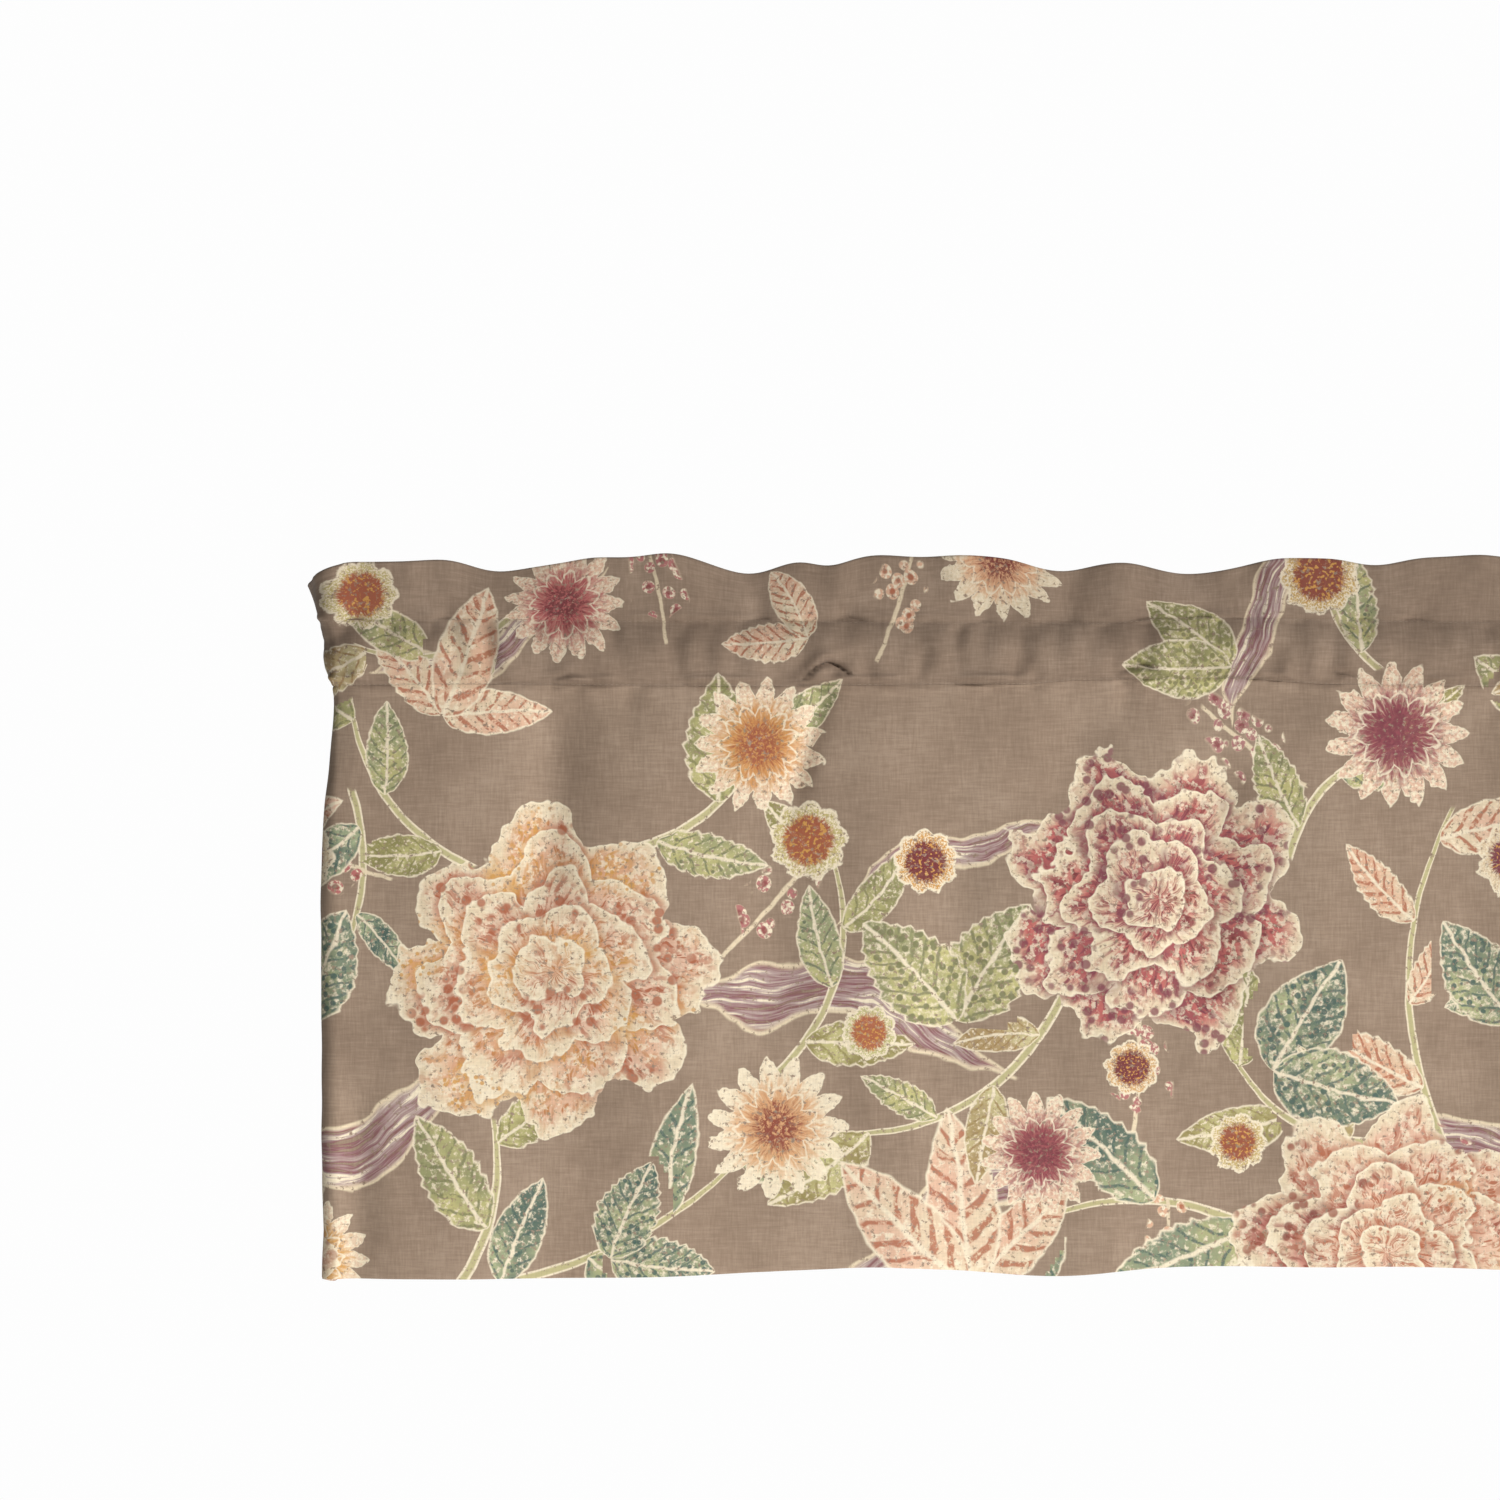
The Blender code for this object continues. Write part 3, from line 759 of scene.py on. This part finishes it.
class Desk:
    """Adds nodes to one material's tree."""

    def __init__(self, tree):
        self.tree = tree

    def feed(self, node, inputs):
        """Sets or links a node's inputs."""
        for key, value in inputs.items():
            if isinstance(value, Term):
                self.tree.links.new(value.socket, node.inputs[key])
            else:
                node.inputs[key].default_value = value

    def node(self, kind, settings=None, inputs=None, out=0):
        made = self.tree.nodes.new(kind)
        for name, value in (settings or {}).items():
            setattr(made, name, value)
        self.feed(made, inputs or {})
        return Term(self, made.outputs[out])

    def math(self, operation, *values):
        kind, settings = "ShaderNodeMath", {"operation": operation}
        return self.node(kind, settings, dict(enumerate(values)))

    def step(self, value, low, high):
        """0 at low, 1 at high, and a soft step between."""
        settings = {"interpolation_type": "SMOOTHSTEP"}
        inputs = {"Value": value, "From Min": low, "From Max": high}
        return self.node("ShaderNodeMapRange", settings, inputs)

    def fade(self, value, low, high):
        """1 at low, 0 at high."""
        return 1.0 - self.step(value, low, high)

    def larger(self, first, second):
        return self.math("MAXIMUM", first, second)

    def mix(self, share, first, second):
        inputs = {0: share, 2: first, 3: second}
        return self.node("ShaderNodeMix", {"data_type": "FLOAT"}, inputs)

    def blend(self, share, first, second):
        """One colour into another."""
        inputs = {0: share, 6: first, 7: second}
        return self.node("ShaderNodeMix", {"data_type": "RGBA"}, inputs, 2)

    def product(self, first, second):
        """One colour times another."""
        settings = {"data_type": "RGBA", "blend_type": "MULTIPLY"}
        return self.node("ShaderNodeMix", settings, {0: 1.0, 6: first, 7: second}, 2)

    def vector(self, x, y, z=0.0):
        return self.node("ShaderNodeCombineXYZ", None, {0: x, 1: y, 2: z})

    def split(self, vector):
        made = self.node("ShaderNodeSeparateXYZ", None, {0: vector}).socket.node
        return [Term(self, socket) for socket in made.outputs]

    def noise(self, vector, scale, detail=2.0, rough=0.5):
        inputs = {"Vector": vector, "Scale": scale, "Detail": detail, "Roughness": rough}
        return self.node("ShaderNodeTexNoise", {"noise_dimensions": "3D"}, inputs)

    def cells(self, vector, scale, uneven=1.0):
        """Distance to the nearest of scattered points."""
        inputs = {"Vector": vector, "Scale": scale, "Randomness": uneven}
        return self.node("ShaderNodeTexVoronoi", None, inputs)

    def palette(self, place, *colours):
        """A soft run through colours spaced evenly from 0 to 1."""
        made = self.node("ShaderNodeValToRGB", None, {0: place})
        stops = made.socket.node.color_ramp.elements
        while len(stops) < len(colours):
            stops.new(0.5)
        for i, colour in enumerate(colours):
            stops[i].position, stops[i].color = i / (len(colours) - 1), colour
        return made

    def attribute(self, name, out="Vector"):
        settings = {"attribute_type": "GEOMETRY", "attribute_name": name}
        return self.node("ShaderNodeAttribute", settings, None, out)


def shader_desk(name):
    """A new material, its desk and its shader."""
    material = bpy.data.materials.new(name)
    material.use_nodes = True
    tree = material.node_tree
    return material, Desk(tree), tree.nodes["Principled BSDF"]


IVORY = rgb(238, 224, 196)
CREAM = rgb(226, 208, 176)
BLUSH = rgb(222, 184, 158)
PEACH = rgb(214, 164, 130)
RUST = rgb(168, 92, 62)
ROSE = rgb(188, 100, 96)
PLUM = rgb(122, 56, 72)
BURGUNDY = rgb(112, 42, 46)
GOLD = rgb(204, 150, 76)
LIME = rgb(190, 184, 124)
OLIVE = rgb(138, 132, 76)
SAGE = rgb(158, 168, 132)
TEAL = rgb(62, 92, 86)
MAUVE = rgb(160, 130, 128)
LAVENDER = rgb(180, 158, 152)


class Layer:
    """One layer's coordinates and values, with its outline made uneven."""

    def __init__(self, desk, name, wobble):
        self.u, self.v, self.seed = desk.split(desk.attribute(name + "_place"))
        self.hue, self.bend, self.form = desk.split(desk.attribute(name + "_make"))
        self.spot = spot = desk.vector(self.u, self.v, self.seed * 40)
        self.uneven = desk.noise(spot, 5.0, 2.0) - 0.5
        self.u = self.u + self.uneven * wobble
        self.v = self.v + (desk.noise(spot, 9.0, 1.0) - 0.5) * wobble


def paint_leaf(desk, name):
    """Pointed leaf from its stalk at u = 0 to its tip at u = 1."""
    leaf = Layer(desk, name, 0.05)
    across = abs(leaf.v - leaf.bend * leaf.u * leaf.u)
    run = desk.larger(leaf.u, 0.0)
    rest = desk.larger(1.0 - leaf.u, 0.0)
    notch = desk.math("PINGPONG", leaf.u * 9 - across * 6, 0.5)
    toothed = 0.24 * desk.step(leaf.seed, 0.35, 0.65)
    half = leaf.form * 2.15 * run**0.6 * rest**0.85 * (0.98 + toothed * (notch - 0.3))
    inside = half - across
    mask = desk.step(inside, 0.0, 0.018)
    rim = desk.fade(inside, 0.012, 0.036)
    rib = desk.fade(across, 0.006, 0.022)
    grain = desk.noise(leaf.spot, 24.0, 3.0, 0.65)
    rusty = desk.fade(leaf.hue, 0.18, 0.32)
    vein = desk.math("PINGPONG", leaf.u * 7.5 - across * 7 + leaf.uneven * 0.6, 0.5)
    bold = 0.10 * rusty * desk.step(leaf.uneven, -0.05, 0.10)
    vein = desk.fade(vein - bold, 0.05, 0.17) * desk.step(grain, 0.36, 0.52)
    broad = desk.step(leaf.form, 0.32, 0.37)
    dabs = desk.fade(desk.cells(leaf.spot, 15.0) - 0.10 * broad, 0.20, 0.34)
    lit = desk.noise(leaf.spot, 5.0) + 0.16 * broad
    dabs = dabs * desk.step(lit, 0.44, 0.60) * desk.step(leaf.hue, 0.3, 0.6)
    body = desk.palette(leaf.hue, CREAM, CREAM, LIME, LIME, SAGE)
    deep = desk.palette(leaf.hue, BLUSH, PEACH, OLIVE, SAGE, TEAL)
    ink = desk.palette(leaf.hue, RUST, RUST, OLIVE, TEAL, TEAL)
    shade = desk.step(desk.noise(leaf.spot, 3.4, 3.0) + 0.25 * leaf.u, 0.42, 0.74)
    colour = desk.blend(shade, body, deep)
    colour = desk.blend(desk.step(grain, 0.50 - 0.06 * broad, 0.66) * 0.85, colour, IVORY)
    colour = desk.blend(desk.larger(vein * 0.85, dabs * 0.9), colour, ink)
    colour = desk.blend(desk.larger(rim, rib * 0.9), colour, IVORY)
    return mask, colour


def paint_stem(desk, name):
    """Thin stem with a pale outline, arched from u = 0 to u = 1."""
    stem = Layer(desk, name, 0.012)
    arch = stem.v - stem.bend * 4 * stem.u * (1.0 - stem.u)
    across = abs(arch)
    ends = desk.step(stem.u, 0.0, 0.02) * desk.fade(stem.u, 0.98, 1.0)
    half = stem.form * (1.25 - 0.6 * stem.u)
    mask = desk.step(half - across, 0.0, 0.004) * ends
    core = desk.fade(across / half, 0.35, 0.7)
    colour = desk.palette(stem.hue, OLIVE, LIME, MAUVE)
    return mask, desk.blend(core * 0.8, IVORY, colour)


def paint_branch(desk, name):
    """Broad twisted branch, streaked along its length."""
    branch = Layer(desk, name, 0.05)
    twist = desk.math("SINE", branch.u * 11 + branch.seed * 9) * 0.03
    across = branch.v - branch.bend * 4 * branch.u * (1.0 - branch.u) - twist
    ends = desk.step(branch.u, -0.01, 0.22) * desk.fade(branch.u, 0.62, 1.0)
    half = branch.form * (0.1 + 1.1 * ends) * (1.0 + branch.uneven * 0.9)
    inside = half - abs(across)
    mask = desk.step(inside, 0.0, 0.008) * desk.step(branch.u, 0.0, 0.02)
    mask = mask * desk.fade(branch.u, 0.985, 1.0)
    lines = desk.vector(branch.u * 3, across * 42, branch.seed * 20)
    streak = desk.noise(lines, 1.6, 3.0, 0.6)
    colour = desk.blend(desk.step(streak, 0.36, 0.5), PLUM, MAUVE)
    colour = desk.blend(desk.step(streak, 0.46, 0.56), colour, LAVENDER)
    colour = desk.blend(desk.step(streak, 0.55, 0.64), colour, IVORY)
    rim = desk.fade(inside, 0.008, 0.026)
    return mask * desk.step(streak + rim, 0.34, 0.42), desk.blend(rim, colour, CREAM)


def paint_spray(desk, name):
    """Small blossoms gathered along a twig."""
    spray = Layer(desk, name, 0.03)
    arch = spray.v - spray.bend * spray.u * spray.u
    twig = desk.fade(abs(arch), 0.008, 0.020)
    twig = twig * desk.step(spray.u, 0.0, 0.02) * desk.fade(spray.u, 0.86, 0.9)
    room = spray.form * (1.15 - 0.7 * spray.u) * desk.step(spray.u, 0.16, 0.36)
    room = desk.step(room - abs(arch), 0.0, 0.03) * desk.fade(spray.u, 0.90, 1.0)
    spread = desk.vector(spray.u, arch, spray.seed * 30)
    near = desk.cells(spread, 8.5, 0.8)
    blossom = desk.fade(near, 0.40, 0.47) * room
    heart = desk.fade(near, 0.12, 0.26)
    petal = desk.palette(spray.hue, PEACH, BLUSH, MAUVE, ROSE, MAUVE)
    inked = desk.palette(spray.hue, RUST, RUST, PLUM)
    mottle = desk.step(desk.noise(spread, 34.0, 2.0), 0.46, 0.60)
    colour = desk.blend(mottle, petal, IVORY)
    colour = desk.blend(heart * 0.9, colour, inked)
    colour = desk.blend(blossom, CREAM, colour)
    return desk.larger(blossom, twig), colour


def petal_ring(desk, layer, count, reach, depth, point, turn):
    """A ring of petals: how far inside it, and 1 along the lines between petals."""
    swirl = layer.angle * (count / (2 * math.pi)) + layer.uneven * 0.30 + layer.seed * 7 + turn
    off = desk.math("PINGPONG", swirl, 0.5) * 2
    edge = reach * (1.0 - depth * off**point + layer.uneven * 0.22)
    return edge - layer.radius, off


def polar(desk, layer):
    layer.radius = desk.math("SQRT", layer.u * layer.u + layer.v * layer.v)
    layer.angle = desk.math("ARCTAN2", layer.v, layer.u)
    layer.rays = desk.vector(layer.angle * 5.5, layer.radius * 2.2, layer.seed * 50)
    layer.ray = desk.noise(layer.rays, 2.2, 3.0, 0.6)
    layer.grain = desk.noise(layer.spot, 20.0, 3.0, 0.65)


def paint_daisy(desk, name):
    """Spiky flower head: long pale petals, a golden ring and a speckled middle."""
    daisy = Layer(desk, name, 0.07)
    polar(desk, daisy)
    outer, off = petal_ring(desk, daisy, 15, 0.98, 0.30, 1.4, 0.0)
    mask = desk.step(outer, 0.0, 0.03)
    tint = desk.palette(daisy.hue, GOLD, PEACH, GOLD, ROSE, PLUM)
    deep = desk.palette(daisy.hue, RUST, BURGUNDY, RUST, BURGUNDY, PLUM)
    pale = desk.palette(daisy.hue, IVORY, CREAM, BLUSH, BLUSH)
    colour = desk.blend(desk.step(daisy.grain, 0.42, 0.60), pale, IVORY)
    lines = desk.step(off, 0.62, 0.92) * desk.step(daisy.radius, 0.95, 0.45)
    colour = desk.blend(lines * 0.65, colour, tint)
    near = desk.step(daisy.radius + (daisy.ray - 0.5) * 0.9, 0.74, 0.34)
    colour = desk.blend(near, colour, tint)
    inner, _ = petal_ring(desk, daisy, 11, 0.60, 0.28, 1.4, 0.4)
    rim = desk.step(inner, 0.0, 0.02) * desk.fade(inner, 0.03, 0.07)
    colour = desk.blend(rim * 0.8, colour, IVORY)
    heart = desk.step(daisy.radius + (daisy.ray - 0.5) * 0.7, 0.44, 0.18)
    colour = desk.blend(heart * desk.step(daisy.grain, 0.38, 0.52), colour, deep)
    outline = desk.fade(outer, 0.02, 0.06)
    return mask, desk.blend(outline, colour, IVORY)


def paint_bud(desk, name):
    """Round bud in a pale calyx."""
    bud = Layer(desk, name, 0.12)
    polar(desk, bud)
    outer, _ = petal_ring(desk, bud, 9, 0.96, 0.14, 1.6, 0.0)
    mask = desk.step(outer, 0.0, 0.05)
    deep = desk.palette(bud.hue, RUST, BURGUNDY, PLUM)
    rind = desk.palette(bud.hue, LIME, GOLD, CREAM)
    colour = desk.blend(desk.step(bud.grain, 0.44, 0.58), rind, IVORY)
    heart = desk.step(bud.radius + (bud.ray - 0.5) * 0.5, 0.66, 0.50)
    colour = desk.blend(heart, colour, deep)
    speck = desk.step(desk.noise(bud.spot, 12.0, 2.0), 0.54, 0.62) * heart
    colour = desk.blend(speck, colour, GOLD)
    return mask, desk.blend(desk.fade(outer, 0.06, 0.14), colour, IVORY)


RINGS = (  # petals, reach, notch depth, point, turn
    (8, 1.00, 0.24, 1.6, 0.00),
    (7, 0.80, 0.24, 1.5, 0.37),
    (6, 0.59, 0.26, 1.5, 0.71),
    (5, 0.39, 0.28, 1.4, 0.19),
    (4, 0.20, 0.28, 1.4, 0.53),
)


def paint_bloom(desk, name):
    """Full open flower of overlapping petals, tinted from their roots."""
    bloom = Layer(desk, name, 0.14)
    lean = desk.noise(bloom.spot, 1.5, 1.0) - 0.5
    bloom.u = bloom.u + lean * 0.34
    bloom.v = bloom.v + (desk.noise(bloom.spot, 1.9, 1.0) - 0.5) * 0.34
    polar(desk, bloom)
    patch = desk.noise(bloom.spot, 2.3, 2.0) - 0.5
    hue = bloom.hue + patch * 1.5
    tint = desk.palette(hue, PEACH, BLUSH, BLUSH, ROSE, ROSE)
    deep = desk.palette(hue, GOLD, RUST, RUST, BURGUNDY, PLUM)
    dry = desk.step(bloom.grain, 0.49, 0.60)
    streak = desk.step(bloom.ray, 0.50, 0.57)
    ticks = desk.fade(desk.cells(bloom.rays, 4.2), 0.26, 0.40)
    spots = desk.fade(desk.cells(bloom.spot, 11.0), 0.26, 0.40)
    specks = desk.fade(desk.cells(bloom.spot, 21.0), 0.20, 0.34)
    spots = desk.larger(spots * desk.step(patch, 0.0, 0.10),
                      specks * desk.step(patch, -0.02, -0.12))
    mask, colour = None, None
    for number, (count, reach, depth, point, turn) in enumerate(RINGS):
        inside, off = petal_ring(desk, bloom, count, reach, depth, point, turn)
        shown = desk.step(inside, 0.0, 0.012)
        root = desk.step(inside + (bloom.ray - 0.5) * 0.26, 0.02, 0.18)
        petal = desk.blend(root, CREAM, tint)
        petal = desk.blend(streak * root * (0.55 + 0.10 * number), petal, deep)
        petal = desk.blend(ticks * root * 0.9, petal, deep)
        petal = desk.blend(dry * 0.70, petal, IVORY)
        gap = desk.step(off, 0.80, 1.0) * desk.step(inside, 0.0, 0.10)
        petal = desk.blend(gap * 0.75, petal, deep)
        petal = desk.blend(desk.fade(inside, 0.012, 0.034), petal, IVORY)
        if mask is None:
            mask, colour = shown, petal
        else:
            under = desk.fade(-inside, 0.0, 0.070)
            colour = desk.blend(under * 0.52, colour, deep)
            colour = desk.blend(shown, colour, petal)
    return mask, desk.blend(spots * 0.85, colour, deep)


# Layers of the print from the bottom up: name, its motifs, where a motif reaches, and its
# painter. Motifs of one layer that meet would cut each other off, so the leaves take turns.
LAYERS = (
    ("branch", BRANCHES, near_arch, paint_branch),
    ("stem", stem_motifs()[::2], near_arch, paint_stem),
    ("stalk", stem_motifs()[1::2], near_arch, paint_stem),
    ("spray", SPRAYS, near_spray, paint_spray),
    ("leaf", leaf_motifs()[::3], near_leaf, paint_leaf),
    ("leaflet", leaf_motifs()[1::3], near_leaf, paint_leaf),
    ("blade", leaf_motifs()[2::3], near_leaf, paint_leaf),
    ("daisy", DAISIES, near_round, paint_daisy),
    ("bud", BUDS, near_round, paint_bud),
    ("bloom", BLOOMS, near_round, paint_bloom),
)
HEADING_SHADE = (0.80, 0.79, 0.79, 1.0)  # painted shade: darkens the heading's colours, standing in for shade falling on the valance's top
GROUND_DARK = rgb(124, 104, 87)
GROUND = rgb(149, 128, 109)
GROUND_LIGHT = rgb(173, 152, 132)
WHITE = (1.0, 1.0, 1.0, 1.0)
GREENER = (0.86, 0.96, 0.86, 1.0)
PINKER = (1.0, 0.88, 0.94, 1.0)


def linen(desk):
    """The undyed-looking ground: colour and height of the slubby weave."""
    cloth = desk.node("ShaderNodeUVMap", {"uv_map": "cloth"})
    across, down, _ = desk.split(cloth)
    weft = desk.noise(desk.vector(across * 90, down * 900), 1.0, 3.0, 0.6)
    warp = desk.noise(desk.vector(across * 900, down * 90), 1.0, 3.0, 0.6)
    slub = desk.noise(desk.vector(across * 60, down * 480), 1.0, 2.0, 0.5)
    rib = desk.noise(desk.vector(across * 480, down * 60), 1.0, 2.0, 0.5)
    cloud = desk.noise(cloth, 16.0, 3.0, 0.6)
    threads = weft * 0.5 + warp * 0.5
    tone = threads * 0.80 + slub * 0.44 + rib * 0.34 + cloud * 0.85 - 0.715
    colour = desk.palette(tone, GROUND_DARK, GROUND, GROUND_LIGHT)
    heather = desk.noise(cloth, 260.0, 3.0, 0.7)
    colour = desk.product(colour, desk.palette(heather, GREENER, WHITE, WHITE, PINKER))
    return cloth, threads, colour


def printed_linen(name, painted_shade):
    material, desk, shader = shader_desk(name)
    cloth, threads, ground = linen(desk)
    worn = desk.step(desk.noise(cloth, 330.0, 3.0, 0.7), 0.33, 0.46)
    colour = ground
    for layer, _, _, painter in LAYERS:
        mask, paint = painter(desk, layer)
        colour = desk.blend(mask * worn * 0.96, colour, paint)
    colour = desk.blend(desk.step(threads, 0.62, 0.38) * 0.16, colour, GROUND_DARK)
    side = desk.attribute("side", "Fac")
    wrong = desk.blend(0.72, colour, ground)
    colour = desk.blend(side, colour, wrong)
    # Painted shade: at a share of 1 all colours are darkened by the heading's shade factor.
    colour = desk.blend(painted_shade, colour, desk.product(colour, HEADING_SHADE))
    bump = desk.node("ShaderNodeBump", None, {"Strength": 0.35, "Distance": 0.0004,
                                              "Height": threads})
    desk.feed(shader, {
        "Base Color": colour, "Roughness": desk.mix(threads, 0.96, 0.72), "Normal": bump,
        "Sheen Weight": 0.12, "Sheen Roughness": 0.5, "Specular IOR Level": 0.25,
    })
    return material


# -------------------------------------------------------------------------- the sewing
def thread_material():
    material, desk, shader = shader_desk("sewing thread")
    spot = desk.node("ShaderNodeTexCoord", None, None, "Object")
    tone = desk.noise(spot, 900.0, 2.0)
    colour = desk.palette(tone, rgb(104, 88, 74), rgb(140, 122, 104), rgb(170, 152, 132))
    bump = desk.node("ShaderNodeBump", None, {"Strength": 0.4, "Distance": 0.0001,
                                              "Height": tone})
    desk.feed(shader, {"Base Color": colour, "Normal": bump, "Roughness": 0.6})
    return material


def stitch_nodes(material):
    """Lays a stitch at every pitch along the lines it is given."""
    tree = bpy.data.node_groups.new("stitches", "GeometryNodeTree")
    face = tree.interface
    face.new_socket("Lines", in_out="INPUT", socket_type="NodeSocketGeometry")
    for name in ("Pitch", "Length", "Thickness"):
        face.new_socket(name, in_out="INPUT", socket_type="NodeSocketFloat")
    face.new_socket("Stitches", in_out="OUTPUT", socket_type="NodeSocketGeometry")
    desk = Desk(tree)
    given = tree.nodes.new("NodeGroupInput").outputs
    lines, pitch, length, thickness = (Term(desk, socket) for socket in given[:4])
    curve = desk.node("GeometryNodeMeshToCurve", None, {0: lines})
    points = desk.node("GeometryNodeCurveToPoints", {"mode": "LENGTH"},
                       {"Curve": curve, "Length": pitch})
    tangent = Term(desk, points.socket.node.outputs["Tangent"])
    bead = desk.node("GeometryNodeMeshUVSphere", None,
                     {"Segments": 6, "Rings": 4, "Radius": 0.5})
    turn = desk.node("FunctionNodeAlignRotationToVector", {"axis": "Z"}, {"Vector": tangent})
    beads = desk.node("GeometryNodeInstanceOnPoints", None, {
        "Points": points, "Instance": bead, "Rotation": turn,
        "Scale": desk.vector(thickness, thickness, length)})
    real = desk.node("GeometryNodeRealizeInstances", None, {0: beads})
    dressed = desk.node("GeometryNodeSetMaterial", None, {"Geometry": real,
                                                          "Material": material})
    desk.feed(tree.nodes.new("NodeGroupOutput"), {0: dressed})
    return tree


def make_stitches(name, lines, material):
    """All the stitches that lie along the given rows of points, as one plain mesh."""
    points, edges = [], []
    for line in lines:
        start = len(points)
        points += [tuple(p) for p in line]
        edges += [(start + i, start + i + 1) for i in range(len(line) - 1)]
    guide = bpy.data.meshes.new(name)
    guide.from_pydata(points, edges, [])
    source = new_piece(name, guide)
    tree = stitch_nodes(material)
    modifier = source.modifiers.new("stitches", "NODES")
    modifier.node_group = tree
    values = {"Pitch": PITCH, "Length": STITCH, "Thickness": THREAD}
    for item in tree.interface.items_tree:
        if item.item_type == "SOCKET" and item.name in values:
            modifier[item.identifier] = values[item.name]
    seen = source.evaluated_get(bpy.context.evaluated_depsgraph_get())
    mesh = bpy.data.meshes.new_from_object(seen)
    bpy.data.objects.remove(source)
    mesh.shade_smooth()
    return new_piece(name, mesh)


# --------------------------------------------------------------------------- the studio
def aimed(obj, spot):
    way = np.array(spot) - np.array(obj.location)
    obj.rotation_mode = "XYZ"
    flat = math.hypot(way[0], way[1])
    obj.rotation_euler = (math.atan2(flat, -way[2]), 0, math.atan2(-way[0], way[1]))


# name, place, width, watts, and the spot that it is aimed at
LIGHTS = (
    ("key", (5.6, -4.6, 3.0), 1.2, 530, (-0.2, 0, -0.3)),
    ("fill", (-0.3, -0.85, -0.95), 1.0, 6.9, (-0.2, 0, -0.3)),
    ("back", (1.6, 3.0, 0.9), 1.6, 78, (0, 0, -0.2)),
    ("floor wash", (0, 0, -1.3), 14, 250, (0, 0, -1.9)),
)
WORLD_LIGHT, WORLD_SEEN = 0.06, 0.985  # how brightly the surroundings light, and look
FLOOR_HALF_WIDTH, FLOOR_HALF_LENGTH, FLOOR_HEIGHT = 4.5, 4, -1.9
FLOOR_PAINT = (0.9, 0.89, 0.87, 1)


def area_light(name, spot, size, power, target):
    data = bpy.data.lights.new(name, "AREA")
    data.shape, data.size, data.energy = "DISK", size, power
    lamp = new_piece(name, data)
    lamp.location = spot
    aimed(lamp, target)


def studio():
    scene = bpy.context.scene
    scene.view_settings.view_transform = "Standard"
    world = bpy.data.worlds.new("studio")
    world.use_nodes = True
    scene.world = world
    desk = Desk(world.node_tree)
    seen = desk.node("ShaderNodeLightPath", None, None, "Is Camera Ray")
    desk.feed(world.node_tree.nodes["Background"], {
        "Color": (1.0, 1.0, 1.0, 1.0), "Strength": desk.mix(seen, WORLD_LIGHT, WORLD_SEEN)})
    for light in LIGHTS:
        area_light(*light)
    x, y, z = FLOOR_HALF_WIDTH, FLOOR_HALF_LENGTH, FLOOR_HEIGHT
    mesh = bpy.data.meshes.new("floor")
    mesh.from_pydata([(-x, -y, z), (x, -y, z), (x, y, z), (-x, y, z)], [], [(0, 1, 2, 3)])
    paint, desk, shader = shader_desk("pale floor")
    desk.feed(shader, {"Base Color": FLOOR_PAINT, "Roughness": 0.6})
    mesh.materials.append(paint)
    new_piece("floor", mesh)


FRAME_WIDTH = 0.846
VIEW_DISTANCE = 2.6
VIEW_CENTRE = (-0.395, -0.109)


def camera():
    data = bpy.data.cameras.new("camera")
    data.sensor_width = 36.0
    data.lens = data.sensor_width * VIEW_DISTANCE / FRAME_WIDTH
    cam = new_piece("camera", data)
    cam.location = (VIEW_CENTRE[0], -VIEW_DISTANCE, VIEW_CENTRE[1])
    cam.rotation_euler = (math.pi / 2, 0, 0)
    bpy.context.scene.camera = cam


def declare(piece, node, stitches):
    for each in (piece, stitches):
        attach(each, "root")
    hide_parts(node)


def main():
    camera()
    studio()
    heading, seams = make_heading()
    panel, hems = make_panel()
    # The heading's material carries the painted shade that darkens it; the panel's has none.
    heading.data.materials.append(printed_linen("printed_linen_doubled", 1.0))
    panel.data.materials.append(printed_linen("printed_linen", 0.0))
    thread = thread_material()
    declare(heading, "heading", make_stitches("seam_stitches", seams, thread))
    declare(panel, "panel", make_stitches("hem_stitches", hems, thread))


main()
